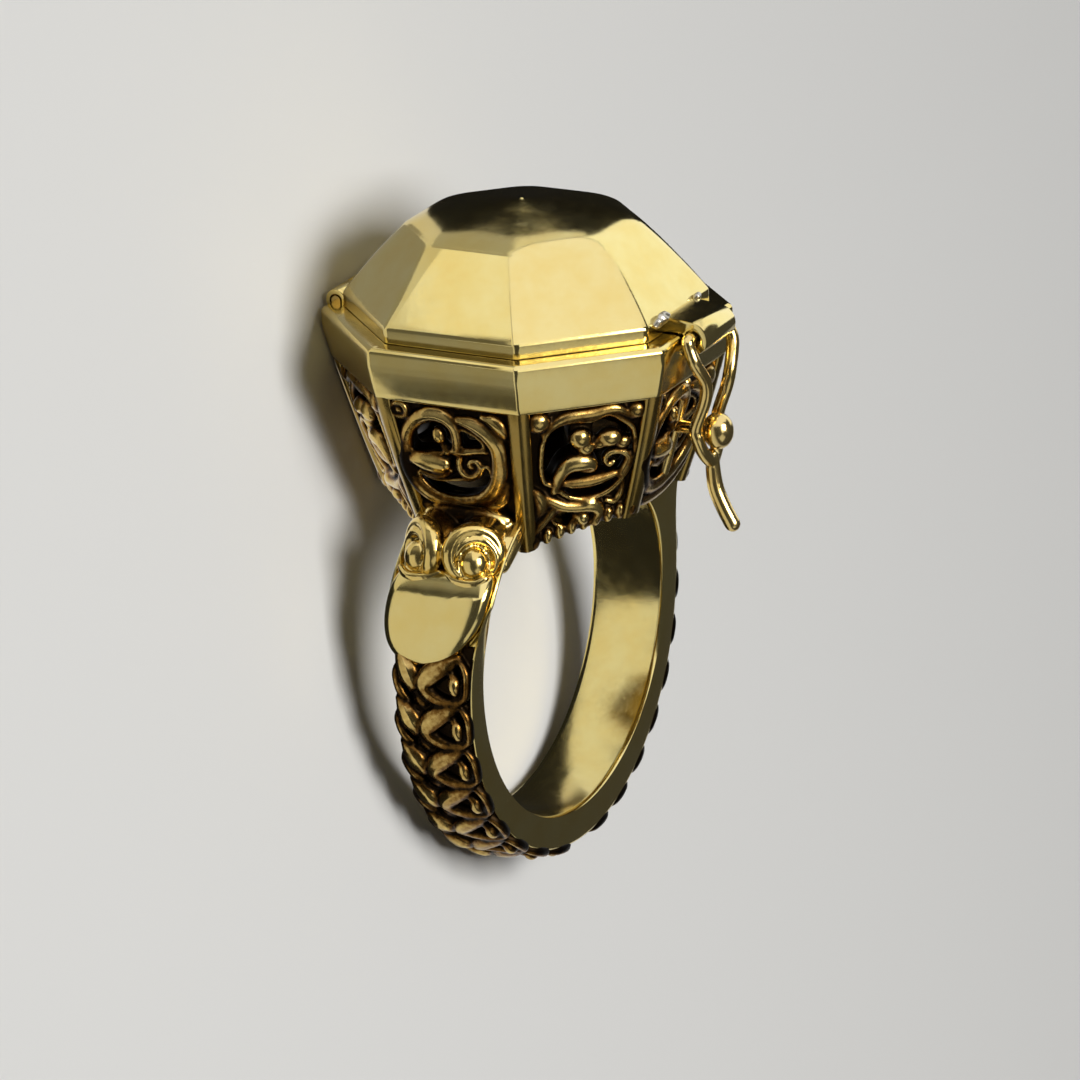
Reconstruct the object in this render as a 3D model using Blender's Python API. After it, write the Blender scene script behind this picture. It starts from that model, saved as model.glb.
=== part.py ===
"""Locket ring with a hinged octagonal lid, a pierced scrollwork cup and a wire hasp on a ball stud.

Every shape is drawn upright in the ring's own frame: the origin is the centre of the finger hole,
+X is the wearer's side, -Y is the front with the hasp, +Y is the back with the hinge, and +Z runs
up through the lid. At the end an empty lays the whole ring down on its back side, as it rests.
"""
from math import atan2, cos, pi, radians, sin

import bpy
import bmesh
from mathutils import Matrix, Vector

MM = 0.001
WELD = 0.0002 * MM

# Finger hole: half its width, its depth below the centre and the flatter arch under the head
FINGER_RADIUS = 10.1 * MM
FINGER_DROP = 9.75 * MM
FINGER_ARCH = 8.1 * MM
FINGER_STEPS = 56

# Shank
RAIL_THICKNESS = 1.45 * MM
GROOVE_DEPTH = 0.35 * MM
RAIL_WIDTH = 0.42 * MM
CROWN_RISE = 0.15 * MM
SHANK_WIDTH_BOTTOM = 4.2 * MM
SHANK_WIDTH_SHOULDER = 6.0 * MM
SHANK_FLARE = 10
SHANK_LEAN = 0.8
SADDLE_RISE = 0.75 * MM
SADDLE_LENGTH = 5.2 * MM
LEAF_ROWS = 16
LEAF_RISE = 1.0 * MM

# Head: an eight-sided cup, its sizes across flats at the rim
HEAD_SIDE_TO_SIDE = 18.5 * MM
HEAD_FRONT_TO_BACK = 19.6 * MM
FRONT_FACE_WIDTH = 7.9 * MM
SIDE_FACE_WIDTH = 8.4 * MM
HEAD_DEPTH = 9.2 * MM
SKIRT_DEPTH = 3.4 * MM
FLOOR_THICKNESS = 1.2 * MM
CUP_WALL = 1.15 * MM
RIM_WALL = 1.65 * MM
RIM_ROUNDING = 0.35 * MM
BAND_HEIGHT = 2.75 * MM
PANEL_SINK = 0.45 * MM
PILLAR_WIDTH = 0.62 * MM

# Scrollwork: in each panel a wheel, whose radius and sideways shift differ between the flat and
# the corner panels
FLAT_WHEEL_RADIUS = 2.65 * MM
FLAT_WHEEL_SHIFT = -0.5 * MM
CORNER_WHEEL_RADIUS = 2.45 * MM
CORNER_WHEEL_SHIFT = 0.05 * MM
WHEEL_WIRE = 0.4 * MM
WHEEL_DROP = 2.9 * MM
WHEEL_STEPS = 12
SCROLL_WIRE = 0.3 * MM

# Volutes at the top of each shoulder
VOLUTE_RADIUS = 1.15 * MM
VOLUTE_WIRE = 0.42 * MM
VOLUTE_KNOB = 0.72 * MM
VOLUTE_REACH = 9.3 * MM
VOLUTE_HEIGHT = 7.1 * MM
VOLUTE_SPREAD = 1.38 * MM
VOLUTE_SPLAY = 40
VOLUTE_STEPS = 14

# Lid
LID_GAP = 0.2 * MM
LID_LEDGE = 1.02 * MM
LID_SIDE_HEIGHT = 0.66 * MM
LID_FACET_RISE = 3.62 * MM
LID_FACET_RUN = 2.96 * MM
LID_KNEE_RISE = 1.15 * MM
LID_KNEE_RUN = 0.70 * MM
LID_DOME_RISE = 1.27 * MM
LID_WALL = 0.95 * MM
LID_EDGE_ROUNDING = 0.12 * MM

# Hinge, let into the rim at the back
HINGE_RADIUS = 0.6 * MM
HINGE_PIN_RADIUS = 0.26 * MM
HINGE_CLEARANCE = 0.1 * MM
HINGE_KNUCKLE = 1.7 * MM
HINGE_LID_KNUCKLE = 2.4 * MM
HINGE_GAP = 0.3 * MM
HINGE_INSET = 0.5 * MM
HINGE_RISE = 0.1 * MM
HINGE_LEAF = 0.47 * MM

# Hasp: a lug rolled from the lid's front edge, a wire loop in it and a ball stud on the cup
LUG_LENGTH = 3.3 * MM
LUG_RADIUS = 0.85 * MM
LUG_STANDOFF = 0.48 * MM
LUG_DROP = 0.35 * MM
LUG_STRAP = 0.5 * MM
WIRE_RADIUS = 0.28 * MM
WIRE_CLEARANCE = 0.14 * MM
WIRE_SIDE_GAP = 0.2 * MM
TAIL_RADIUS = 0.38 * MM
STUD_RADIUS = 0.8 * MM
STUD_POST_RADIUS = 0.36 * MM
STUD_REACH = 0.92 * MM
STUD_DROP = 5.5 * MM
EYE_GAP = 0.2 * MM
MOVING_GAP = 0.2 * MM

# Sizes that follow from the ones above
HALF_X = HEAD_SIDE_TO_SIDE / 2
HALF_Y = HEAD_FRONT_TO_BACK / 2
RIM_Z = FINGER_ARCH + HEAD_DEPTH
CUP_FOOT_Z = FINGER_ARCH - SKIRT_DEPTH
FLOOR_Z = FINGER_ARCH + FLOOR_THICKNESS
BAND_Z = RIM_Z - BAND_HEIGHT
WHEEL_Z = BAND_Z - WHEEL_DROP
LID_Z = RIM_Z + LID_GAP
LID_SIDE_Z = LID_Z + LID_SIDE_HEIGHT
LID_DOME_Z = LID_SIDE_Z + LID_FACET_RISE
RAIL_RADIUS = FINGER_RADIUS + RAIL_THICKNESS
GROUND_RADIUS = RAIL_RADIUS - GROOVE_DEPTH
HINGE_Y = HALF_Y - HINGE_INSET
HINGE_Z = RIM_Z + HINGE_RISE
LUG_Y = -HALF_Y - LUG_STANDOFF
LUG_Z = LID_Z - LUG_DROP
STUD_Z = RIM_Z - STUD_DROP
STUD_Y = -HALF_Y - STUD_REACH

# Cup profile: share of the way from the foot up to the rim, and share of the rim's half width
CUP_PROFILE = (
    ("foot", 0.000, 0.610),
    ("skirt", 0.095, 0.668),
    ("low", 0.220, 0.735),
    ("belly", 0.415, 0.820),
    ("upper", 0.620, 0.900),
    ("band", 0.785, 0.958),
    ("rim", 0.930, 1.000),
)

# Lid dome: share of the dome's rise, share of its base width, and how round that section is
DOME_PROFILE = (
    ("shoulder", 0.30, 0.88, 0.25),
    ("crown", 0.66, 0.62, 0.55),
    ("top", 0.91, 0.32, 0.85),
)

# Scroll strokes: panel, then shares of the wheel's radius for the arc's centre, its first and last
# radius, and its wire, with the first and last angle in degrees from the panel's right-hand side
SCROLL_STROKES = (
    ("flat", "leaf", -0.52, -0.50, 0.42, 0.42, 172, 22, 1.45),
    ("flat", "stalk", 0.42, 0.62, 0.66, 0.50, 112, 250, 0.95),
    ("flat", "bar", 0.56, -0.46, 0.66, 0.66, 118, 34, 0.90),
    ("flat", "curl", 0.50, -0.12, 0.36, 0.14, 130, 420, 0.75),
    ("corner", "stem", 0.10, -0.62, 0.62, 0.52, 205, 75, 0.95),
    ("corner", "petal", 0.05, -0.40, 0.62, 0.50, 128, 28, 0.95),
    ("corner", "arm", 0.50, -0.10, 0.62, 0.62, 132, 30, 0.95),
    ("corner", "cradle", 0.10, 0.34, 1.18, 1.18, 232, 322, 1.00),
)

# Scroll beads: panel, shares of the wheel's radius for the centre and the bead's own radius
SCROLL_BEADS = (
    ("flat", "knob", -0.20, 0.56, 0.15),
    ("flat", "eye", 0.50, -0.12, 0.12),
    ("corner", "berry", 0.00, 0.66, 0.21),
    ("corner", "bud", 0.02, 0.34, 0.20),
    ("corner", "tip", 0.56, 0.50, 0.17),
)

# Lobes between the wheel and the panel's corners: shares of the wheel's radius
CORNER_LOBES = (
    ("upper_left", -1.02, 1.04, 0.22),
    ("upper_right", 1.02, 1.04, 0.22),
    ("lower_left", -0.87, -0.88, 0.18),
    ("lower_right", 0.87, -0.88, 0.18),
)

# Row of beads under a corner panel's wheel, from the side panel towards the front or back one:
# shares of the wheel's radius
SKIRT_BEADS = (
    ("low_berry", 0.04, -1.36, 0.20),
    ("bead_1", -0.56, -1.86, 0.13),
    ("bead_2", -0.22, -1.80, 0.13),
    ("bead_3", 0.12, -1.70, 0.13),
)

# Loop of the hasp, one side: shares of the lug's half span for x, of the drop to the stud for z,
# and the stand-off in front of the lug's axis as a share of the stud's radius
HASP_PATH = (
    ("top", 1.00, 0.00, 0.00),
    ("bend", 1.02, 0.06, 0.10),
    ("upper", 1.04, 0.20, 0.42),
    ("waist", 0.68, 0.43, 0.66),
    ("swell", 0.60, 0.60, 0.46),
)


def add_mesh(name, points, faces):
    mesh = bpy.data.meshes.new(name)
    mesh.from_pydata([tuple(p) for p in points], [], faces)
    mesh.validate()
    obj = bpy.data.objects.new(name, mesh)
    bpy.context.scene.collection.objects.link(obj)
    return obj


def loft(name, rings):
    """Close a skin through rings with the same number of points, capped at both ends."""
    count = len(rings[0])
    points = [p for ring in rings for p in ring]
    faces = []
    for level in range(len(rings) - 1):
        for i in range(count):
            a = level * count + i
            b = level * count + (i + 1) % count
            faces.append((a, b, b + count, a + count))
    faces.append(tuple(reversed(range(count))))
    faces.append(tuple(range((len(rings) - 1) * count, len(rings) * count)))
    obj = add_mesh(name, points, faces)
    face_out(obj)
    return obj


def face_out(obj):
    work = bmesh.new()
    work.from_mesh(obj.data)
    bmesh.ops.recalc_face_normals(work, faces=work.faces)
    work.to_mesh(obj.data)
    work.free()


def weld(obj):
    """Merge points that lie on each other and turn the faces out."""
    work = bmesh.new()
    work.from_mesh(obj.data)
    bmesh.ops.remove_doubles(work, verts=work.verts, dist=WELD)
    bmesh.ops.dissolve_degenerate(work, edges=work.edges, dist=WELD)
    bmesh.ops.recalc_face_normals(work, faces=work.faces)
    work.to_mesh(obj.data)
    work.free()


def sphere(name, centre, radius, sides=8, stretch=(1, 1, 1), turn=Matrix.Identity(4)):
    work = bmesh.new()
    bmesh.ops.create_uvsphere(work, u_segments=sides, v_segments=sides // 2, radius=radius)
    place = Matrix.Translation(centre) @ turn @ Matrix.Diagonal((*stretch, 1))
    bmesh.ops.transform(work, matrix=place, verts=work.verts)
    mesh = bpy.data.meshes.new(name)
    work.to_mesh(mesh)
    work.free()
    obj = bpy.data.objects.new(name, mesh)
    bpy.context.scene.collection.objects.link(obj)
    return obj


def rod(name, start, end, radius, sides=16, end_radius=None):
    """Straight round bar from start to end."""
    start, end = Vector(start), Vector(end)
    axis = end - start
    last = radius if end_radius is None else end_radius
    work = bmesh.new()
    bmesh.ops.create_cone(work, cap_ends=True, segments=sides, radius1=radius, radius2=last,
                          depth=axis.length)
    turn = axis.to_track_quat("Z", "Y").to_matrix().to_4x4()
    place = Matrix.Translation((start + end) / 2) @ turn
    bmesh.ops.transform(work, matrix=place, verts=work.verts)
    mesh = bpy.data.meshes.new(name)
    work.to_mesh(mesh)
    work.free()
    obj = bpy.data.objects.new(name, mesh)
    bpy.context.scene.collection.objects.link(obj)
    return obj


def block(name, low, high):
    work = bmesh.new()
    bmesh.ops.create_cube(work, size=1)
    low, high = Vector(low), Vector(high)
    place = Matrix.Translation((low + high) / 2) @ Matrix.Diagonal((*(high - low), 1))
    bmesh.ops.transform(work, matrix=place, verts=work.verts)
    mesh = bpy.data.meshes.new(name)
    work.to_mesh(mesh)
    work.free()
    obj = bpy.data.objects.new(name, mesh)
    bpy.context.scene.collection.objects.link(obj)
    return obj


def tube(name, points, radii, closed=False, resolution=1):
    """Bent wire through the points, with a radius at each of them."""
    curve = bpy.data.curves.new(name, "CURVE")
    curve.dimensions = "3D"
    curve.bevel_depth = 1
    curve.bevel_resolution = resolution
    curve.use_fill_caps = not closed
    spline = curve.splines.new("POLY")
    spline.points.add(len(points) - 1)
    for knot, place, radius in zip(spline.points, points, radii):
        knot.co = (*place, 1)
        knot.radius = radius
    spline.use_cyclic_u = closed
    guide = bpy.data.objects.new(name + "_guide", curve)
    bpy.context.scene.collection.objects.link(guide)
    bpy.context.view_layer.update()
    mesh = bpy.data.meshes.new_from_object(guide.evaluated_get(bpy.context.evaluated_depsgraph_get()))
    bpy.data.objects.remove(guide)
    obj = bpy.data.objects.new(name, mesh)
    bpy.context.scene.collection.objects.link(obj)
    weld(obj)
    return obj


def combine(base, tools, operation, solver="EXACT"):
    """Join the tools to the base, or cut them from it, and drop them."""
    group = bpy.data.collections.new(base.name + "_tools")
    for tool in tools:
        group.objects.link(tool)
    boolean = base.modifiers.new("combine", "BOOLEAN")
    boolean.operation = operation
    boolean.operand_type = "COLLECTION"
    boolean.collection = group
    boolean.solver = solver
    bpy.context.view_layer.update()
    mesh = bpy.data.meshes.new_from_object(base.evaluated_get(bpy.context.evaluated_depsgraph_get()))
    base.modifiers.clear()
    base.data = mesh
    for tool in tools:
        bpy.data.objects.remove(tool)
    bpy.data.collections.remove(group)
    return base


def smooth_points(points, steps):
    """Points along the curve that runs evenly through the given ones (Catmull-Rom)."""
    line = []
    last = len(points) - 1
    for i in range(last):
        p0 = points[max(i - 1, 0)]
        p1, p2 = points[i], points[i + 1]
        p3 = points[min(i + 2, last)]
        for k in range(steps):
            t = k / steps
            line.append(0.5 * (2 * p1 + (p2 - p0) * t + (2 * p0 - 5 * p1 + 4 * p2 - p3) * t ** 2
                               + (3 * p1 - p0 - 3 * p2 + p3) * t ** 3))
    line.append(points[last])
    return line


def rim_corners():
    """The cup's eight corners at the rim, seen from above, counter-clockwise from the right front."""
    cx, cy = FRONT_FACE_WIDTH / 2, SIDE_FACE_WIDTH / 2
    return (
        Vector((cx, -HALF_Y)), Vector((HALF_X, -cy)), Vector((HALF_X, cy)), Vector((cx, HALF_Y)),
        Vector((-cx, HALF_Y)), Vector((-HALF_X, cy)), Vector((-HALF_X, -cy)), Vector((-cx, -HALF_Y)),
    )


def octagon(inset, z):
    """Section of the cup at height z, its flats moved in by inset from the rim's."""
    share = 1 - inset / min(HALF_X, HALF_Y)
    return [Vector((p.x * share, p.y * share, z)) for p in rim_corners()]


def cup_inset(z):
    """How far the cup's outside lies inside the rim's outline at height z."""
    share = (z - CUP_FOOT_Z) / (RIM_Z - CUP_FOOT_Z)
    low = CUP_PROFILE[0]
    for high in CUP_PROFILE[1:]:
        if share <= high[1]:
            t = (share - low[1]) / (high[1] - low[1])
            return (1 - (low[2] + t * (high[2] - low[2]))) * min(HALF_X, HALF_Y)
        low = high
    return 0.0


def cup_levels(start, stop):
    """Heights of the cup's sections between two heights, ends included."""
    span = RIM_Z - CUP_FOOT_Z
    inner = [CUP_FOOT_Z + row[1] * span for row in CUP_PROFILE]
    return [start] + [z for z in inner if start < z < stop] + [stop]


def cup_loft(name, start, stop, inset):
    return loft(name, [octagon(cup_inset(z) + inset, z) for z in cup_levels(start, stop)])


def band():
    """Polished band with a rounded rim."""
    rings = [octagon(cup_inset(z), z) for z in cup_levels(BAND_Z, RIM_Z - RIM_ROUNDING)]
    rings.append(octagon(RIM_ROUNDING * 0.3, RIM_Z - RIM_ROUNDING * 0.3))
    rings.append(octagon(RIM_ROUNDING, RIM_Z))
    return loft("band", rings)


def pillars():
    """Eight corner ribs that frame the sunken panels."""
    corners = rim_corners()
    made = []
    for i, corner in enumerate(corners):
        before = (corners[i - 1] - corner).normalized()
        after = (corners[(i + 1) % 8] - corner).normalized()
        inward = (before + after).normalized()
        rings = []
        for z in cup_levels(CUP_FOOT_Z, BAND_Z + PANEL_SINK):
            share = 1 - cup_inset(z) / min(HALF_X, HALF_Y)
            edge = corner * share
            section = (edge, edge + after * PILLAR_WIDTH, edge + inward * PILLAR_WIDTH * 1.6,
                       edge + before * PILLAR_WIDTH)
            rings.append([Vector((p.x, p.y, z)) for p in section])
        made.append(loft("pillar", rings))
    return made


def cavity():
    """Inside of the cup, open at the rim."""
    levels = cup_levels(FLOOR_Z, RIM_Z)
    rings = [octagon(max(cup_inset(z) + CUP_WALL, RIM_WALL), z) for z in levels]
    rings.append(octagon(RIM_WALL, RIM_Z + LID_SIDE_HEIGHT))
    return loft("cavity", rings)


def panel_frames():
    """For each face: whether it is flat or a corner face, its wheel's centre, radius and axes."""
    corners = rim_corners()
    half = min(HALF_X, HALF_Y)
    frames = []
    for i, corner in enumerate(corners):
        kind = "corner" if i % 2 == 0 else "flat"
        radius = CORNER_WHEEL_RADIUS if kind == "corner" else FLAT_WHEEL_RADIUS
        shift = CORNER_WHEEL_SHIFT if kind == "corner" else FLAT_WHEEL_SHIFT
        low, high = WHEEL_Z - radius, WHEEL_Z + radius
        follow = corners[(i + 1) % 8]
        middle = (corner + follow) / 2
        across = Vector((*(follow - corner).normalized(), 0))
        foot = Vector((*(middle * (1 - (cup_inset(low) + PANEL_SINK) / half)), low))
        head = Vector((*(middle * (1 - (cup_inset(high) + PANEL_SINK) / half)), high))
        up = (head - foot).normalized()
        centre = (head + foot) / 2 + across * shift
        frames.append((kind, centre, across, up, across.cross(up), radius))
    return frames


def panel_point(frame, u, v, n=0.0):
    """Point of a panel: u and v are shares of the wheel's radius, n a length outwards."""
    _, centre, across, up, out, radius = frame
    return centre + across * u * radius + up * v * radius + out * n


def panel_turn(frame):
    _, _, across, up, out, _ = frame
    return Matrix((across, up, out)).transposed().to_4x4()


def arch_height(x):
    """Height of the finger hole's arch above its centre."""
    return FINGER_ARCH * max(0.0, 1 - (x / FINGER_RADIUS) ** 2) ** 0.5


def scrollwork():
    """Wires and beads of all eight panels: wheel, strokes, corner lobes and the row underneath."""
    wires = []
    beads = []
    for frame in panel_frames():
        kind, centre, across, up, _, wheel = frame
        ring = []
        for k in range(WHEEL_STEPS):
            angle = 2 * pi * (k + 0.3) / WHEEL_STEPS
            ring.append(panel_point(frame, cos(angle), sin(angle)))
        wires.append(tube("wheel", ring, [WHEEL_WIRE] * WHEEL_STEPS, closed=True, resolution=0))
        for panel, _, cu, cv, r1, r2, a1, a2, wire in SCROLL_STROKES:
            if panel != kind:
                continue
            count = max(3, int(abs(a2 - a1) / 42))
            line = []
            for k in range(count + 1):
                t = k / count
                angle = radians(a1 + (a2 - a1) * t)
                radius = r1 + (r2 - r1) * t
                line.append(panel_point(frame, cu + radius * cos(angle), cv + radius * sin(angle)))
            taper = [SCROLL_WIRE * wire * (1 - 0.25 * k / count) for k in range(count + 1)]
            wires.append(tube("stroke", line, taper, resolution=0))
        turn = panel_turn(frame)
        for _, name, u, v, size in [row for row in SCROLL_BEADS if row[0] == kind]:
            beads.append(sphere(name, panel_point(frame, u, v, SCROLL_WIRE * 0.5), size * wheel,
                                sides=6, turn=turn))
        for name, u, v, size in CORNER_LOBES:
            beads.append(sphere(name, panel_point(frame, u, v), size * wheel, sides=6,
                                stretch=(1, 1, 0.8), turn=turn))
        if kind == "corner":
            lead = -1 if across.x * centre.x > 0 else 1
            for name, u, v, size in SKIRT_BEADS:
                place = panel_point(frame, u * lead, v, -PANEL_SINK * 0.5)
                short = arch_height(place.x) + size * wheel * 0.5 - place.z
                place += up * max(short, 0) / up.z
                beads.append(sphere(name, place, size * wheel, sides=6, turn=turn))
    return wires, beads


def piercings():
    """One round opening through the wall behind each wheel."""
    made = []
    for frame in panel_frames():
        outside = panel_point(frame, 0, 0, WHEEL_WIRE * 3)
        inside = panel_point(frame, 0, 0, -CUP_WALL * 1.6)
        made.append(rod("piercing", outside, inside, frame[5] - WHEEL_WIRE * 0.5, sides=12))
    return made


def finger_outline():
    """Outline of the finger hole in the XZ plane, as (x, z)."""
    line = []
    for k in range(FINGER_STEPS):
        angle = 2 * pi * k / FINGER_STEPS
        rise = FINGER_ARCH if sin(angle) > 0 else FINGER_DROP
        line.append((FINGER_RADIUS * cos(angle), rise * sin(angle)))
    return line


def finger_hole():
    reach = HEAD_FRONT_TO_BACK
    outline = finger_outline()
    front = [Vector((x, -reach, z)) for x, z in outline]
    back = [Vector((x, reach, z)) for x, z in outline]
    return loft("finger_hole", [front, back])


SADDLE_START = radians(95)
SADDLE_ROUNDING = radians(13)
SHANK_END = radians(152)
TUCK_START = radians(114)


def shank_half_width(angle):
    """Half width at an angle from the bottom, in radians."""
    share = min(abs(angle) / radians(115), 1.0) ** SHANK_FLARE
    return (SHANK_WIDTH_BOTTOM + (SHANK_WIDTH_SHOULDER - SHANK_WIDTH_BOTTOM) * share) / 2


def saddle_share(angle, aside):
    """0 where the leaves run, 1 on the plain saddle of the shoulder, whose end is a round tongue."""
    span = SADDLE_LENGTH * 0.2 / RAIL_RADIUS
    return max(0.0, min(1.0, (abs(angle) - SADDLE_START - SADDLE_ROUNDING * aside ** 2) / span))


def shank_outer(angle):
    """Radius of the rail's outside: it tucks in under the head beyond the volutes."""
    tuck = max(0.0, (abs(angle) - TUCK_START) / (SHANK_END - TUCK_START))
    return RAIL_RADIUS - tuck ** 1.3 * 0.26 * RAIL_RADIUS


def shank():
    rings = []
    count = 46
    for k in range(count + 1):
        angle = SHANK_END * (2 * k / count - 1)
        half = shank_half_width(angle)
        rail = shank_outer(angle)
        floor, flank, crown = [
            rail + saddle_share(angle, aside) * SADDLE_RISE * saddle_arc
            + (1 - saddle_share(angle, aside)) * (CROWN_RISE * arc - GROOVE_DEPTH)
            for aside, arc, saddle_arc in ((0.93, 0.0, 0.6), (0.5, 0.75, 0.9), (0.0, 1.0, 1.0))]
        rail += saddle_share(angle, 1.0) * SADDLE_RISE * 0.45
        inner = FINGER_RADIUS * 0.8
        flare = half - SHANK_WIDTH_BOTTOM / 2
        root = half - flare * SHANK_LEAN * (RAIL_RADIUS - inner) / RAIL_THICKNESS
        inside = half - RAIL_WIDTH
        section = (
            (inner, root), (rail, half), (rail + 0.04 * MM, inside), (floor, inside * 0.93),
            (flank, inside * 0.5), (crown, 0.0), (flank, -inside * 0.5), (floor, -inside * 0.93),
            (rail + 0.04 * MM, -inside), (rail, -half), (inner, -root),
        )
        rings.append([Vector((-r * sin(angle), y, -r * cos(angle))) for r, y in section])
    return loft("shank", rings)


def leaves():
    """Rows of leaves round the outside of the shank: one in the middle and one on each side."""
    made = []
    pitch = 2 * SADDLE_START / LEAF_ROWS
    for row in range(LEAF_ROWS):
        angle = -SADDLE_START + pitch * (row + 0.55)
        half = shank_half_width(angle) - RAIL_WIDTH
        radius = GROUND_RADIUS + CROWN_RISE * 0.6
        length = pitch * radius
        lean = 1 if angle > 0 else -1
        for side in (-1, 0, 1):
            if side and row == LEAF_ROWS // 2:
                continue
            offset = -lean * pitch * 0.37 * abs(side)
            place = angle + offset
            out = Vector((-sin(place), 0, -cos(place)))
            along = Vector((-cos(place), 0, sin(place)))
            width = half * (0.44 if side == 0 else 0.3)
            skew = (along + Vector((0, side * lean * 0.45, 0))).normalized()
            cross = out.cross(skew).normalized()
            turn = Matrix((skew, cross, out)).transposed().to_4x4()
            centre = out * radius + Vector((0, side * half * 0.66, 0))
            made.append(sphere("leaf", centre, 1, sides=6,
                               stretch=(length * 0.46, width, LEAF_RISE), turn=turn))
    return made


def volutes():
    """A pair of ram's-horn scrolls on the top of each shoulder, splayed, with a knob in each."""
    made = []
    splay = radians(VOLUTE_SPLAY)
    for side in (-1, 1):
        for row in (-1, 1):
            centre = Vector((side * VOLUTE_REACH, row * VOLUTE_SPREAD, VOLUTE_HEIGHT))
            out = Vector((side * cos(splay), row * sin(splay), 0.26)).normalized()
            across = Vector((0, 0, 1)).cross(out).normalized()
            up = out.cross(across)
            ring = []
            for k in range(VOLUTE_STEPS):
                turn = 2 * pi * k / VOLUTE_STEPS
                ring.append(centre + across * cos(turn) * VOLUTE_RADIUS + up * sin(turn) * VOLUTE_RADIUS)
            made.append(tube("volute", ring, [VOLUTE_WIRE] * VOLUTE_STEPS, closed=True, resolution=0))
            made.append(sphere("knob", centre + out * VOLUTE_WIRE * 0.5, VOLUTE_KNOB, sides=8))
            root = Vector((side * HALF_X * 0.7, row * VOLUTE_SPREAD * 0.8, VOLUTE_HEIGHT + VOLUTE_WIRE))
            made.append(rod("horn", root, centre + out * VOLUTE_WIRE * 0.1, VOLUTE_RADIUS, sides=12))
    return made


def ring_hinge():
    """Two knuckles soldered to the back of the rim."""
    start = HINGE_LID_KNUCKLE / 2 + HINGE_GAP
    made = []
    for side in (-1, 1):
        made.append(rod("knuckle", (side * start, HINGE_Y, HINGE_Z),
                        (side * (start + HINGE_KNUCKLE), HINGE_Y, HINGE_Z), HINGE_RADIUS, sides=20))
    return made


def pin_bore(radius):
    reach = HINGE_LID_KNUCKLE / 2 + HINGE_GAP + HINGE_KNUCKLE + HINGE_RADIUS
    return rod("pin_bore", (-reach, HINGE_Y, HINGE_Z), (reach, HINGE_Y, HINGE_Z), radius, sides=16)


def stud():
    """Ball on a post for the hasp, standing on a bar across the front panel."""
    wall = -HALF_Y + cup_inset(STUD_Z) + PANEL_SINK + CUP_WALL * 0.5
    post = rod("post", (0, wall, STUD_Z), (0, STUD_Y, STUD_Z), STUD_POST_RADIUS, sides=10)
    ball = sphere("ball", (0, STUD_Y, STUD_Z), STUD_RADIUS, sides=14, turn=Matrix.Rotation(0.1, 4, "Z"))
    front = panel_frames()[7]
    foot, head = panel_point(front, 0.03, -1.02), panel_point(front, 0.03, 1.02)
    bar = tube("stud_bar", [foot, (foot + head) / 2, head], [SCROLL_WIRE * 1.2] * 3, resolution=0)
    return [post, ball, bar]


def moving_room():
    """Notches in the rim where the lid's knuckle turns and where its lug comes down."""
    knuckle = HINGE_LID_KNUCKLE / 2 + HINGE_GAP * 0.85
    lug = LUG_LENGTH / 2 + MOVING_GAP
    return [
        rod("hinge_notch", (-knuckle, HINGE_Y, HINGE_Z), (knuckle, HINGE_Y, HINGE_Z),
            HINGE_RADIUS + MOVING_GAP, sides=20),
        rod("lug_notch", (-lug, LUG_Y, LUG_Z), (lug, LUG_Y, LUG_Z), LUG_RADIUS + MOVING_GAP, sides=20),
    ]


def ring_body():
    """Cup, shank and everything soldered to them: one casting."""
    body = cup_loft("ring_body", CUP_FOOT_Z, BAND_Z + PANEL_SINK, PANEL_SINK)
    combine(body, [band(), shank()] + pillars() + ring_hinge(), "UNION")
    cuts = [finger_hole(), cavity(), pin_bore(HINGE_PIN_RADIUS + HINGE_CLEARANCE)]
    combine(body, cuts + moving_room() + piercings(), "DIFFERENCE", "MANIFOLD")
    wires, beads = scrollwork()
    combine(body, volutes() + leaves() + wires + beads + stud(), "UNION", "MANIFOLD")
    weld(body)
    return body


def lid_section(inset, z, roundness=0.0):
    """Octagon with a point in the middle of each face, blended towards an ellipse."""
    corners = octagon(inset, z)
    points = []
    for i, corner in enumerate(corners):
        follow = corners[(i + 1) % 8]
        for p in (corner, (corner + follow) / 2):
            angle = atan2(p.y / HALF_Y, p.x / HALF_X)
            share = (1 - inset / min(HALF_X, HALF_Y)) * 1.03
            oval = Vector((HALF_X * share * cos(angle), HALF_Y * share * sin(angle), z))
            points.append(p.lerp(oval, roundness))
    return points


def lid_body():
    """Faceted lid with a low dome, hollow inside."""
    edge = LID_LEDGE
    dome_inset = LID_LEDGE + LID_FACET_RUN
    half = min(HALF_X, HALF_Y)
    rings = [
        lid_section(edge + LID_EDGE_ROUNDING, LID_Z),
        lid_section(edge, LID_Z + LID_EDGE_ROUNDING),
        lid_section(edge, LID_SIDE_Z - LID_EDGE_ROUNDING),
        lid_section(edge + LID_EDGE_ROUNDING * 0.5, LID_SIDE_Z),
        lid_section(edge + LID_KNEE_RUN, LID_SIDE_Z + LID_KNEE_RISE),
        lid_section(dome_inset, LID_DOME_Z),
    ]
    base = half - dome_inset
    for _, rise, width, roundness in DOME_PROFILE:
        rings.append(lid_section(half - base * width, LID_DOME_Z + rise * LID_DOME_RISE, roundness))
    rings.append(lid_section(half - base * 0.1, LID_DOME_Z + LID_DOME_RISE, 1.0))
    return loft("lid", rings)


def lid_hollow():
    edge = LID_LEDGE + LID_WALL
    dome_inset = edge + LID_FACET_RUN * 0.85
    rings = [
        octagon(edge, LID_Z - LID_WALL),
        octagon(edge, LID_SIDE_Z - LID_EDGE_ROUNDING),
        octagon(edge + LID_KNEE_RUN, LID_SIDE_Z + LID_KNEE_RISE - LID_WALL * 0.3),
        octagon(dome_inset, LID_DOME_Z - LID_WALL * 0.6),
    ]
    return loft("lid_hollow", rings)


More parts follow.
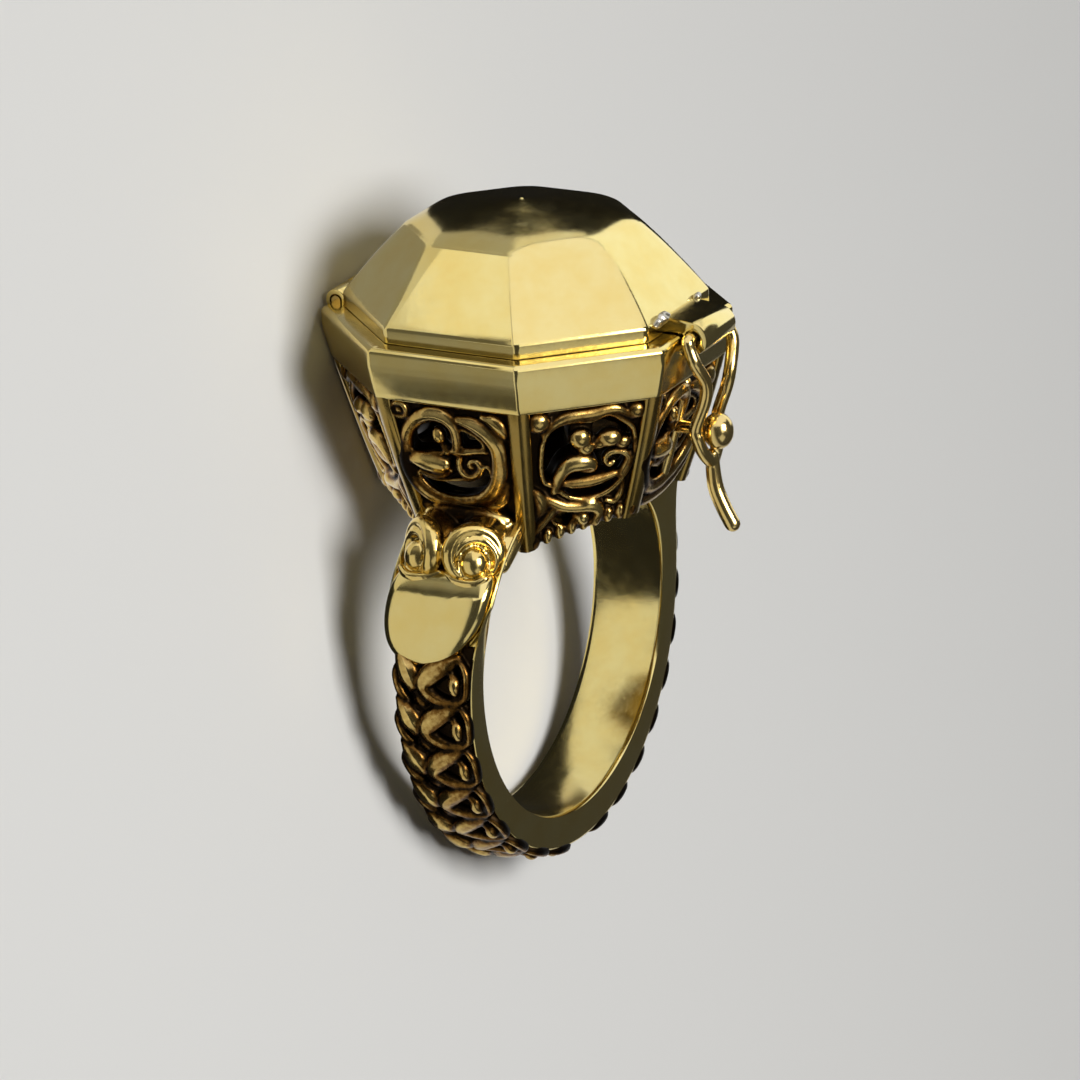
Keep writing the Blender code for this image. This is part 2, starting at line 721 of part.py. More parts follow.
def lid_hinge():
    """Middle knuckle and the leaf that carries it."""
    half = HINGE_LID_KNUCKLE / 2
    knuckle = rod("lid_knuckle", (-half, HINGE_Y, HINGE_Z), (half, HINGE_Y, HINGE_Z), HINGE_RADIUS,
                  sides=20)
    root = HALF_Y - LID_LEDGE - LID_WALL * 0.5
    leaf = block("leaf", (-half * 0.98, root, LID_Z + 0.03 * MM), (half * 0.98, HINGE_Y, LID_Z + HINGE_LEAF))
    return [knuckle, leaf]


def lid_lug():
    """Rolled lug on the front edge, with a strap that runs up on to the lid."""
    half = LUG_LENGTH / 2
    barrel = rod("barrel", (-half, LUG_Y, LUG_Z), (half, LUG_Y, LUG_Z), LUG_RADIUS, sides=20)
    root = -(HALF_Y - LID_LEDGE - LID_WALL * 0.4)
    top = LID_SIDE_Z - LID_EDGE_ROUNDING * 0.5
    strap = loft("strap", [
        [Vector((x, root, LID_Z + 0.04 * MM)), Vector((x, root, top)),
         Vector((x, LUG_Y - LUG_RADIUS * 0.1, LUG_Z + LUG_RADIUS * 0.97)),
         Vector((x, LUG_Y + LUG_RADIUS * 0.2, LUG_Z + LUG_RADIUS - LUG_STRAP))]
        for x in (-half * 0.985, half * 0.985)])
    return [barrel, strap]


def knuckle_room():
    """Notches in the lid's back edge round the ring's two knuckles."""
    start = HINGE_LID_KNUCKLE / 2 + HINGE_GAP * 0.1
    stop = HINGE_LID_KNUCKLE / 2 + HINGE_GAP + HINGE_KNUCKLE + MOVING_GAP
    return [rod("knuckle_room", (side * start, HINGE_Y, HINGE_Z), (side * stop, HINGE_Y, HINGE_Z),
                HINGE_RADIUS + MOVING_GAP, sides=20) for side in (-1, 1)]


def lug_bore():
    half = LUG_LENGTH / 2 + WIRE_RADIUS
    return rod("lug_bore", (-half, LUG_Y, LUG_Z), (half, LUG_Y, LUG_Z), WIRE_RADIUS + WIRE_CLEARANCE,
               sides=16)


def lid():
    """Lid, its hinge knuckle and its front lug: one soldered piece."""
    body = lid_body()
    combine(body, knuckle_room(), "DIFFERENCE")
    combine(body, lid_hinge() + lid_lug(), "UNION")
    return combine(body, [lid_hollow(), lug_bore(), pin_bore(HINGE_PIN_RADIUS + HINGE_CLEARANCE)],
                   "DIFFERENCE")


def hinge_pin():
    reach = HINGE_LID_KNUCKLE / 2 + HINGE_GAP + HINGE_KNUCKLE
    return rod("hinge_pin", (-reach, HINGE_Y, HINGE_Z), (reach, HINGE_Y, HINGE_Z), HINGE_PIN_RADIUS,
               sides=16)


def hasp_side():
    """Points of one side of the loop, from the lug down to where it closes under the stud."""
    span = LUG_LENGTH / 2 + WIRE_RADIUS + WIRE_SIDE_GAP
    drop = LUG_Z - STUD_Z
    eye = STUD_RADIUS + WIRE_RADIUS + EYE_GAP
    points = [Vector((x * span, LUG_Y - out * STUD_RADIUS, LUG_Z - z * drop))
              for _, x, z, out in HASP_PATH]
    behind = STUD_Y + STUD_RADIUS * 0.75
    points[-1].x = eye
    for turn in (0, 30, 60, 90):
        angle = radians(turn)
        points.append(Vector((eye * cos(angle), behind, STUD_Z - STUD_RADIUS * 0.2 - eye * 1.1 * sin(angle))))
    return points


def clasp_loop():
    """Hasp: one wire bent through the lug and round the stud, with a lifting tail."""
    right = hasp_side()
    left = [Vector((-p.x, p.y, p.z)) for p in reversed(right[:-1])]
    line = smooth_points(right + left, 3)
    span = right[0].x
    bar = [Vector((-span + 2 * span * t / 4, LUG_Y, LUG_Z)) for t in (1, 2, 3)]
    ring = line + bar
    loop = tube("clasp_loop", ring, [WIRE_RADIUS] * len(ring), closed=True, resolution=1)
    foot = right[-1]
    tail_drop = STUD_RADIUS * 4.4
    tail = smooth_points([
        foot + Vector((0, 0, WIRE_RADIUS * 0.3)),
        foot + Vector((0, -STUD_RADIUS * 0.15, -tail_drop * 0.4)),
        foot + Vector((0, -STUD_RADIUS * 0.75, -tail_drop * 0.75)),
        foot + Vector((0, -STUD_RADIUS * 1.4, -tail_drop)),
    ], 3)
    thick = [TAIL_RADIUS * (0.85 + 0.15 * min(1, k / 3)) for k in range(len(tail))]
    handle = tube("tail", tail, thick, resolution=1)
    tip = sphere("tip", tail[-1], TAIL_RADIUS * 1.04, sides=10)
    return combine(loop, [handle, tip], "UNION")


def material(name, colour, roughness):
    finish = bpy.data.materials.new(name)
    finish.use_nodes = True
    shader = finish.node_tree.nodes["Principled BSDF"]
    shader.inputs["Base Color"].default_value = (*colour, 1)
    shader.inputs["Roughness"].default_value = roughness
    shader.inputs["Metallic"].default_value = 1.0
    return finish


def hang_on(obj, holder, pivot, finish):
    """Give a piece its finish, its origin at the pivot and its parent."""
    obj.data.transform(Matrix.Translation(-Vector(pivot)))
    obj.location = pivot
    obj.parent = holder
    obj.data.materials.clear()
    obj.data.materials.append(finish)
    obj.data.shade_smooth()
    obj.data.set_sharp_from_angle(angle=radians(30))


def rest_tilt():
    """Slope at which the widest line of the band and the shank's back edge both touch the ground."""
    widest = CUP_FOOT_Z + CUP_PROFILE[-1][1] * (RIM_Z - CUP_FOOT_Z)
    return atan2(HALF_Y - SHANK_WIDTH_BOTTOM / 2, widest + RAIL_RADIUS)


def lay_down(holder, pieces):
    """Turn the ring on to its back side and centre its box over the origin."""
    holder.rotation_euler = (rest_tilt() - pi / 2, 0, 0)
    bpy.context.view_layer.update()
    corners = [obj.matrix_world @ v.co for obj in pieces for v in obj.data.vertices]
    low = Vector([min(p[i] for p in corners) for i in range(3)])
    high = Vector([max(p[i] for p in corners) for i in range(3)])
    holder.location = (-(low.x + high.x) / 2, -(low.y + high.y) / 2, -low.z)
    bpy.context.view_layer.update()


def main():
    for obj in list(bpy.data.objects):
        bpy.data.objects.remove(obj)
    brass = material("polished_brass", (0.83, 0.66, 0.32), 0.16)
    wire = material("brass_wire", (0.80, 0.62, 0.30), 0.24)
    holder = bpy.data.objects.new("ring_frame", None)
    bpy.context.scene.collection.objects.link(holder)
    pieces = (
        (ring_body(), (0, 0, 0), brass),
        (lid(), (0, HINGE_Y, HINGE_Z), brass),
        (hinge_pin(), (0, HINGE_Y, HINGE_Z), wire),
        (clasp_loop(), (0, LUG_Y, LUG_Z), wire),
    )
    for obj, pivot, finish in pieces:
        hang_on(obj, holder, pivot, finish)
    lay_down(holder, [obj for obj, _, _ in pieces])


main()
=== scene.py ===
"""Looks of the locket ring: antiqued cast brass with polished facets, on a pale studio floor.

Pieces are drawn upright in the ring's own frame, in millimetres: the origin is the centre of the
finger hole, -Y the front with the hasp, +Y the back with the hinge, +Z up through the lid. PLACE
then lays them down, in metres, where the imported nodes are.
"""
from math import atan2, cos, hypot, pi, radians, sin, sqrt, tan

import bmesh
import bpy
import numpy as np
from mathutils import Matrix, Vector


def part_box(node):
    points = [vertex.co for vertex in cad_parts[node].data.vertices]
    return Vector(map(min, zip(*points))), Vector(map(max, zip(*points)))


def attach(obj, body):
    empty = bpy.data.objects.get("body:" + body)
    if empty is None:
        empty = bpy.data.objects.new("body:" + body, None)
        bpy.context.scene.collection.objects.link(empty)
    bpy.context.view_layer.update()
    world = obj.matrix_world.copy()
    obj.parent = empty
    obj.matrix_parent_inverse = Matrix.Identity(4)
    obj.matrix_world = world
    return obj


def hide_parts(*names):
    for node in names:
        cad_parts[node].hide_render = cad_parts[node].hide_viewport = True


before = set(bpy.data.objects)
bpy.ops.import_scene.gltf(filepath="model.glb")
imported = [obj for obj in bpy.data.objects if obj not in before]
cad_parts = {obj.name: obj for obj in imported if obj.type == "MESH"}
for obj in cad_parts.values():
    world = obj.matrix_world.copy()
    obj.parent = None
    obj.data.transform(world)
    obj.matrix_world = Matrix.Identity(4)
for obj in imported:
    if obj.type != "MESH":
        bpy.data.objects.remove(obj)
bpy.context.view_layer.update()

# Sizes shared with the part, in millimetres
HALF_X, HALF_Y = 9.25, 9.8
CORNER_X, CORNER_Y = 3.95, 4.2
FINGER_RADIUS, FINGER_DROP, FINGER_ARCH = 10.1, 9.75, 8.1
RAIL_RADIUS, RAIL_THICKNESS, GROOVE_DEPTH = 11.55, 1.45, 0.35
GROUND_RADIUS = 11.2
SHANK_HALF, SHOULDER_GROWTH, SHANK_LEAN = 2.1, 0.9, 0.8
FOOT_Z, FLOOR_Z, BAND_Z, RIM_Z = 4.7, 9.3, 14.55, 17.3
WIDEST_Z = FOOT_Z + 0.93 * (RIM_Z - FOOT_Z)
PANEL_SINK, PILLAR_WIDTH, RIM_WALL = 0.45, 0.62, 1.65
LID_SIDE_Z, LID_LEDGE = 18.16, 1.02
HINGE_Y, HINGE_Z, HINGE_RADIUS, PIN_BORE = 9.3, 17.4, 0.6, 0.36
KNUCKLE_START, KNUCKLE_LENGTH, LID_KNUCKLE_HALF = 1.5, 1.7, 1.2
LUG_Y, LUG_Z, LUG_RADIUS, LUG_LENGTH = -10.28, 17.15, 0.85, 3.3
STUD_Y, STUD_Z, STUD_RADIUS, POST_RADIUS = -10.72, 11.8, 0.8, 0.36
MOVING_GAP = 0.2
CUP_PROFILE = ((0.000, 0.610), (0.095, 0.668), (0.220, 0.735), (0.415, 0.820), (0.620, 0.900),
               (0.785, 0.958), (0.930, 1.000))

# Sizes of the looks alone: a little thicker wire, and a lid nearer to the rim
WIRE_RADIUS, TAIL_RADIUS, WIRE_GAP = 0.34, 0.41, 0.12
LID_Z, PANEL_MIDDLE_Z = 17.315, 11.4
HINGE_NOTCH, LUG_NOTCH = 1.455, 1.85
PILLAR_FOOT_Z, FLOOR_FOOT_Z = 4.5, 4.75
CUTTER_REACH, BORE_REACH = 20, 5
RIM_EDGE, BAND_ROUNDING = 0.3, 0.34
FULLNESS, BEAD_FULLNESS = 1.3, 1.22
PANEL_VOXEL, LEAF_VOXEL, VOLUTE_VOXEL, SOLDER_VOXEL, WIRE_VOXEL = 0.085, 0.086, 0.075, 0.06, 0.05
END_ANGLES = (80, 55, 28)

# Rounding of the octagon's corners: half the angle between two sides, and the longest reach along one
CORNER_TURN, LONGEST_REACH = radians(23), 3.7
HORN_SPLAY = radians(40)

# The ring lies on its back: on the widest line of its band and on the back edge of its shank
TILT = atan2(HALF_Y - SHANK_HALF, WIDEST_Z + RAIL_RADIUS)
TURN = Matrix.Rotation(TILT - pi / 2, 4, "X")
pin_low, pin_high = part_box("hinge_pin")
PIN = TURN @ (Vector((0, HINGE_Y, HINGE_Z)) * 0.001)
PLACE = Matrix.Translation((pin_low + pin_high) / 2 - PIN) @ TURN @ Matrix.Scale(0.001, 4)


# Meshes

def new_object(name, data):
    obj = bpy.data.objects.new(name, data)
    bpy.context.scene.collection.objects.link(obj)
    return obj


def new_piece(name, points, faces):
    mesh = bpy.data.meshes.new(name)
    mesh.from_pydata([tuple(p) for p in points], [], faces)
    mesh.validate()
    return new_object(name, mesh)


def from_work(name, work):
    """Object out of an edit mesh, which ends here."""
    mesh = bpy.data.meshes.new(name)
    work.to_mesh(mesh)
    work.free()
    return new_object(name, mesh)


def grid(name, rows, close_rows=False, close_ring=True, caps=False):
    """Skin through rows of points; a row is a ring unless close_ring is off."""
    count = len(rows[0])
    faces = []
    for r in range(len(rows) if close_rows else len(rows) - 1):
        for i in range(count if close_ring else count - 1):
            a, b = r * count + i, r * count + (i + 1) % count
            c = (r + 1) % len(rows) * count
            faces.append((a, b, c + (i + 1) % count, c + i))
    if caps:
        faces.append(tuple(reversed(range(count))))
        faces.append(tuple(range((len(rows) - 1) * count, len(rows) * count)))
    obj = new_piece(name, [p for row in rows for p in row], faces)
    face_out(obj)
    return obj


def face_out(obj):
    work = bmesh.new()
    work.from_mesh(obj.data)
    bmesh.ops.recalc_face_normals(work, faces=work.faces)
    work.to_mesh(obj.data)
    work.free()


def settle(obj):
    """Apply every modifier."""
    bpy.context.view_layer.update()
    mesh = bpy.data.meshes.new_from_object(obj.evaluated_get(bpy.context.evaluated_depsgraph_get()))
    obj.modifiers.clear()
    obj.data = mesh
    return obj


def combine(base, tools, operation="DIFFERENCE"):
    group = bpy.data.collections.new(base.name + "_tools")
    for tool in tools:
        group.objects.link(tool)
    boolean = base.modifiers.new("combine", "BOOLEAN")
    boolean.operation, boolean.operand_type, boolean.collection = operation, "COLLECTION", group
    settle(base)
    for tool in tools:
        bpy.data.objects.remove(tool)
    bpy.data.collections.remove(group)
    return base


def join(name, parts):
    """One mesh out of several."""
    work = bmesh.new()
    for part in parts:
        work.from_mesh(part.data)
        bpy.data.objects.remove(part)
    return from_work(name, work)


def around(count, turn=2 * pi):
    """Even angles round a circle."""
    return [turn * k / count for k in range(count)]


def rod(name, start, end, radius, round_edge=0.0):
    """Straight round bar, its ends flat or with a small rounded edge."""
    start, end = Vector(start), Vector(end)
    axis = (end - start).normalized()
    side = axis.orthogonal().normalized()
    other = axis.cross(side)
    ends = [(start, radius), (end, radius)]
    if round_edge:
        steps = [(round_edge * a, radius - round_edge * b) for a, b in ((0, 1), (0.3, 0.3), (1, 0))]
        ends = [(start + axis * a, r) for a, r in steps] + [(end - axis * a, r) for a, r in reversed(steps)]
    rows = [[centre + side * cos(a) * r + other * sin(a) * r for a in around(48)] for centre, r in ends]
    return grid(name, rows, caps=True)


def axle(name, ends, centre, radius, round_edge=0.0):
    """Rod across the ring, from one x to another; centre is its y and z."""
    return rod(name, (ends[0], *centre), (ends[1], *centre), radius, round_edge)


def ball(name, centre, radii, turn=Matrix.Identity(3), sides=24):
    work = bmesh.new()
    bmesh.ops.create_uvsphere(work, u_segments=sides, v_segments=max(6, sides // 2), radius=1)
    matrix = Matrix.Translation(centre) @ turn.to_4x4() @ Matrix.Diagonal((*radii, 1))
    bmesh.ops.transform(work, matrix=matrix, verts=work.verts)
    return from_work(name, work)


def curve_points(points, steps):
    """Even curve through the given points; each may carry more numbers than its place."""
    line = []
    last = len(points) - 1
    rows = [np.array(p, float) for p in points]
    for i in range(last):
        p0, p1, p2, p3 = rows[max(i - 1, 0)], rows[i], rows[i + 1], rows[min(i + 2, last)]
        for k in range(steps):
            t = k / steps
            line.append(0.5 * (2 * p1 + (p2 - p0) * t + (2 * p0 - 5 * p1 + 4 * p2 - p3) * t ** 2
                               + (3 * p1 - p0 - 3 * p2 + p3) * t ** 3))
    line.append(rows[last])
    return line


def sweep(name, points, widths, heights, normals, sides=12, closed=False):
    """Bent bar of oval section, with round ends; heights run along the normals."""
    count = len(points)
    rows = []

    def add_ring(centre, ahead, i, share=1.0):
        aside = ahead.cross(normals[i]).normalized()
        lift = aside.cross(ahead).normalized()
        width, height = widths[i] * share, heights[i] * share
        rows.append([centre + aside * cos(a) * width + lift * sin(a) * height for a in around(sides)])

    for i, point in enumerate(points):
        if closed:
            ahead = points[(i + 1) % count] - points[i - 1]
        else:
            ahead = points[min(i + 1, count - 1)] - points[max(i - 1, 0)]
        ahead.normalize()
        reach = min(widths[i], heights[i])
        if not closed and i == 0:
            for k in END_ANGLES:
                add_ring(point - ahead * sin(radians(k)) * reach, ahead, i, cos(radians(k)))
        add_ring(point, ahead, i)
        if not closed and i == count - 1:
            for k in reversed(END_ANGLES):
                add_ring(point + ahead * sin(radians(k)) * reach, ahead, i, cos(radians(k)))
    return grid(name, rows, close_rows=closed, caps=not closed)


def cast(obj, voxel, smoothing):
    """Melt overlapping forms into one cast skin."""
    remesh = obj.modifiers.new("melt", "REMESH")
    remesh.mode, remesh.voxel_size = "VOXEL", voxel
    soften = obj.modifiers.new("soften", "SMOOTH")
    soften.iterations, soften.factor = smoothing, 0.5
    return settle(obj)


# Outlines of the head

def rim_corners():
    x, y = CORNER_X, CORNER_Y
    return [Vector(p) for p in ((x, -HALF_Y), (HALF_X, -y), (HALF_X, y), (x, HALF_Y),
                                (-x, HALF_Y), (-HALF_X, y), (-HALF_X, -y), (-x, -HALF_Y))]


def beside(corners, index):
    """Directions from a corner towards the one before it and the one after it."""
    corner = corners[index]
    before = (corners[index - 1] - corner).normalized()
    after = (corners[(index + 1) % 8] - corner).normalized()
    return before, after


def section(inset, z, rounding=0.0, steps=4, oval=0.0):
    """Octagon whose flats lie inset from the rim's outline, its corners rounded, or turned oval."""
    share = 1 - inset / HALF_X
    corners = [p * share for p in rim_corners()]
    reach = min(rounding * tan(CORNER_TURN), LONGEST_REACH * share)
    points = []
    for i, corner in enumerate(corners):
        before, after = beside(corners, i)
        a, b = corner + before * reach, corner + after * reach
        for k in range(steps + 1):
            t = k / steps
            points.append(a * (1 - t) ** 2 + corner * 2 * t * (1 - t) + b * t ** 2)
        points.append((corner + corners[(i + 1) % 8]) / 2)
    if oval:
        for i, p in enumerate(points):
            angle = atan2(p.y / HALF_Y, p.x / HALF_X)
            points[i] = p.lerp(Vector((HALF_X * cos(angle), HALF_Y * sin(angle))) * share * 1.03, oval)
    return [Vector((p.x, p.y, z)) for p in points]


def cup_inset(z):
    """How far the cup's outside lies inside the rim's outline at height z."""
    share = (z - FOOT_Z) / (RIM_Z - FOOT_Z)
    low = CUP_PROFILE[0]
    if share <= 0:
        return (1 - low[1]) * HALF_X
    for high in CUP_PROFILE[1:]:
        if share <= high[0]:
            t = (share - low[0]) / (high[0] - low[0])
            return (1 - (low[1] + t * (high[1] - low[1]))) * HALF_X
        low = high
    return 0.0


def smooth_inset(z):
    """The same, with the profile's bends eased."""
    return sum(cup_inset(z + d) * w for d, w in ((-0.5, 0.25), (0, 0.5), (0.5, 0.25)))


def arch_height(x):
    return FINGER_ARCH * sqrt(max(0.0, 1 - (x / FINGER_RADIUS) ** 2))


def finger_hole():
    """Cutter with the finger hole's outline: a low arch above, a fuller drop below."""
    line = [(FINGER_RADIUS * cos(a), (FINGER_ARCH if sin(a) > 0 else FINGER_DROP) * sin(a))
            for a in around(160)]
    rows = [[Vector((x, y, z)) for x, z in line] for y in (-CUTTER_REACH, CUTTER_REACH)]
    return grid("finger_hole", rows, caps=True)


def finger_reach(angle):
    """Distance from the finger hole's centre to its edge, at an angle from the bottom."""
    drop = FINGER_DROP if cos(angle) > 0 else FINGER_ARCH
    return 1 / hypot(sin(angle) / FINGER_RADIUS, cos(angle) / drop)


# Head

def moving_room():
    """Cutters that leave room for the lid's knuckle and for the lug."""
    return [axle("hinge_notch", (-HINGE_NOTCH, HINGE_NOTCH), (HINGE_Y, HINGE_Z), HINGE_RADIUS + MOVING_GAP),
            axle("lug_notch", (-LUG_NOTCH, LUG_NOTCH), (LUG_Y, LUG_Z), LUG_RADIUS + MOVING_GAP)]


def rim_band():
    """Polished band: slightly flared below its widest line, rounded over at the rim."""
    low = cup_inset(BAND_Z)
    line = [(low + 0.75, BAND_Z - 0.02), (low + 0.12, BAND_Z - 0.02), (low + 0.03, BAND_Z + 0.02),
            (cup_inset(BAND_Z + 0.12), BAND_Z + 0.12)]
    line += [(low * (1 - t) ** 1.15, BAND_Z + (WIDEST_Z - BAND_Z) * t) for t in (0.2, 0.4, 0.6, 0.8)]
    line += [(0, WIDEST_Z), (0, RIM_Z - RIM_EDGE)]
    line += [(RIM_EDGE - RIM_EDGE * cos(radians(a)), RIM_Z - RIM_EDGE + RIM_EDGE * sin(radians(a)))
             for a in (20, 42, 65)]
    line += [(RIM_EDGE, RIM_Z), (RIM_WALL - 0.12, RIM_Z), (RIM_WALL - 0.03, RIM_Z - 0.04),
             (RIM_WALL, RIM_Z - 0.12), (RIM_WALL, BAND_Z - 0.1), (1.0, BAND_Z - 0.1)]
    rows = [section(inset, z, BAND_ROUNDING) for inset, z in line]
    return combine(grid("rim_band", rows, close_rows=True), moving_room())


def pillar(index):
    """Polished corner rib of the cup, down to the arch."""
    corners = rim_corners()
    before, after = beside(corners, index)
    inward = (before + after).normalized()
    rows = []
    for k in range(25):
        z = PILLAR_FOOT_Z + (BAND_Z + 0.2 - PILLAR_FOOT_Z) * k / 24
        edge = corners[index] * (1 - smooth_inset(z) / HALF_X)
        wide = PILLAR_WIDTH * (0.82 + 0.18 * (z - PILLAR_FOOT_Z) / 10)
        half = [(0.06, 0.015), (0.22, 0), (wide - 0.12, 0), (wide - 0.02, 0.06), (wide, 0.2),
                (wide * 0.9, 1.25)]
        line = [edge + after * a + inward * b for a, b in half]
        line += [edge + before * a + inward * b for a, b in reversed(half)]
        rows.append([Vector((p.x, p.y, z)) for p in line[-2:] + line[:-2]])
    return combine(grid("pillar", rows, caps=True), [finger_hole()])


def under_head():
    """Compartment floor, its underside following the finger hole's arch."""
    levels = [FLOOR_FOOT_Z + (FLOOR_Z - FLOOR_FOOT_Z) * k / 10 for k in range(11)]
    rows = [section(smooth_inset(z) + PANEL_SINK + 0.3, z, 0.3) for z in levels]
    return combine(grid("compartment_floor", rows, caps=True), [finger_hole()])


class Panel:
    """One sunken face of the cup: u to the right and v up seen from outside, n outwards."""

    def __init__(self, index):
        corners = rim_corners()
        self.a, self.b = corners[index], corners[(index + 1) % 8]
        self.flip = 1  # -1 mirrors what is drawn on the face
        self.middle = (self.a + self.b) / 2
        self.across = Vector((*(self.b - self.a).normalized(), 0))
        self.rise = self.slope(PANEL_MIDDLE_Z)
        self.out = self.across.cross(self.rise).normalized()

    def base(self, z):
        """Middle of the sunken face at height z."""
        share = 1 - (smooth_inset(z) + PANEL_SINK) / HALF_X
        return Vector((self.middle.x * share, self.middle.y * share, z))

    def slope(self, z):
        return (self.base(z + 0.1) - self.base(z - 0.1)).normalized()

    def half(self, z):
        """Half width of the face at height z."""
        return (self.b - self.a).length / 2 * (1 - smooth_inset(z) / HALF_X)

    def __call__(self, u, v, n=0.0):
        z = PANEL_MIDDLE_Z + v * self.rise.z
        return self.base(z) + self.across * u * self.flip + self.out * n

    def normal(self, u, v):
        return self.out


def on_circle(angle, radius, y, side=1):
    """Point of the shank, at an angle from its bottom; side -1 mirrors it."""
    return Vector((-radius * sin(angle) * side, y, -radius * cos(angle)))


class Band:
    """Outside of the shank: u is the angle from the bottom in degrees, v the place across in mm."""

    def __init__(self, radius, side=1):
        self.radius, self.side = radius, side

    def __call__(self, u, v, n=0.0):
        return on_circle(radians(u), self.radius + n, v, self.side)

    def normal(self, u, v):
        return on_circle(radians(u), 1, 0, self.side)


def stroke(where, points, steps=7, sides=12, closed=False):
    """Bar on a surface. A point is u, v, half width, half height and depth of its middle."""
    line = curve_points(list(points) + ([points[0]] if closed else []), steps)
    if closed:
        line = line[:-1]
    places = [where(p[0], p[1], p[4]) for p in line]
    normals = [where.normal(p[0], p[1]) for p in line]
    return sweep("stroke", places, [max(p[2], 0.02) for p in line], [max(p[3], 0.02) for p in line],
                 normals, sides=sides, closed=closed)


def bead(where, u, v, n, radii, angle=0.0, sides=20):
    """Oval bead: radii along, across and out of the surface."""
    out = where.normal(u, v)
    step = 0.1
    along = (where(u + step, v, n) - where(u - step, v, n)).normalized()
    over = out.cross(along).normalized()
    a = along * cos(radians(angle)) + over * sin(radians(angle))
    b = out.cross(a).normalized()
    turn = Matrix((a, b, out)).transposed()
    return ball("bead", where(u, v, n), radii, turn, sides)


def hole(where, outline):
    """Cutter through a panel with the given outline."""
    return grid("hole", [[where(u, v, n) for u, v in outline] for n in (-1.6, 0.9)], caps=True)


def rounded(points, steps=4):
    """Closed smooth outline through the given points."""
    line = curve_points([points[-1], *points, points[0], points[1]], steps)
    return [(float(p[0]), float(p[1])) for p in line[steps:steps + len(points) * steps]]


def lip(where, outline, width, height, depth):
    """Thin rounded edge that runs along an outline."""
    return stroke(where, [(u, v, width, height, depth) for u, v in outline], steps=1, sides=8, closed=True)


def plate(where, holes):
    """Sunken ground of a panel, pierced, its foot cut by the finger hole's arch."""
    top, bottom, steps, high = 3.2, -6.4, 22, 0.1
    deep = high - 0.85
    rows = []
    for k in range(steps + 1):
        v = bottom + (top - bottom) * k / steps
        half = where.half(PANEL_MIDDLE_Z + v * where.rise.z) - 0.3
        corners = ((-half, high), (half, high), (half, deep), (-half, deep))
        rows.append([where(u, v, n) for u, n in corners])
    return combine(grid("plate", rows, caps=True), [finger_hole()] + [hole(where, line) for line in holes])


# Scroll designs, in millimetres: a hole is an outline of (u, v), a stroke runs through
# (u, v, half width, half height, depth), a bead is (u, v, depth, radii)

SIDE_HOLES = (
    # drop hole
    [(-2.48, 1.42), (-1.9, 2.04), (-1.09, 2.4), (-.43, 2.31), (-.06, 1.94), (-.06, 1.3), (-.25, .7),
     (-.6, .46), (-1.12, .43), (-1.94, .34), (-2.6, .3), (-2.71, .78)],
    # wedge hole
    [(.34, 1.98), (.87, 1.95), (1.48, 1.55), (1.63, 1.12), (1.36, .95), (.66, .86), (.22, .9)],
    # crescent
    [(-2.45, -.9), (-2.36, -1.42), (-2.0, -1.87), (-1.38, -2.2), (-.59, -2.28), (.24, -2.15),
     (.99, -1.79), (1.49, -1.23), (1.73, -.65), (1.66, -.15), (1.4, -.12), (1.12, -.62), (.55, -1.02),
     (-.13, -1.08), (-.79, -1.2), (-1.43, -1.25), (-1.95, -1.12)],
    # notch
    [(-.34, .3), (-.14, .2), (-.24, -.3), (-.42, -.42), (-.5, -.1)],
)
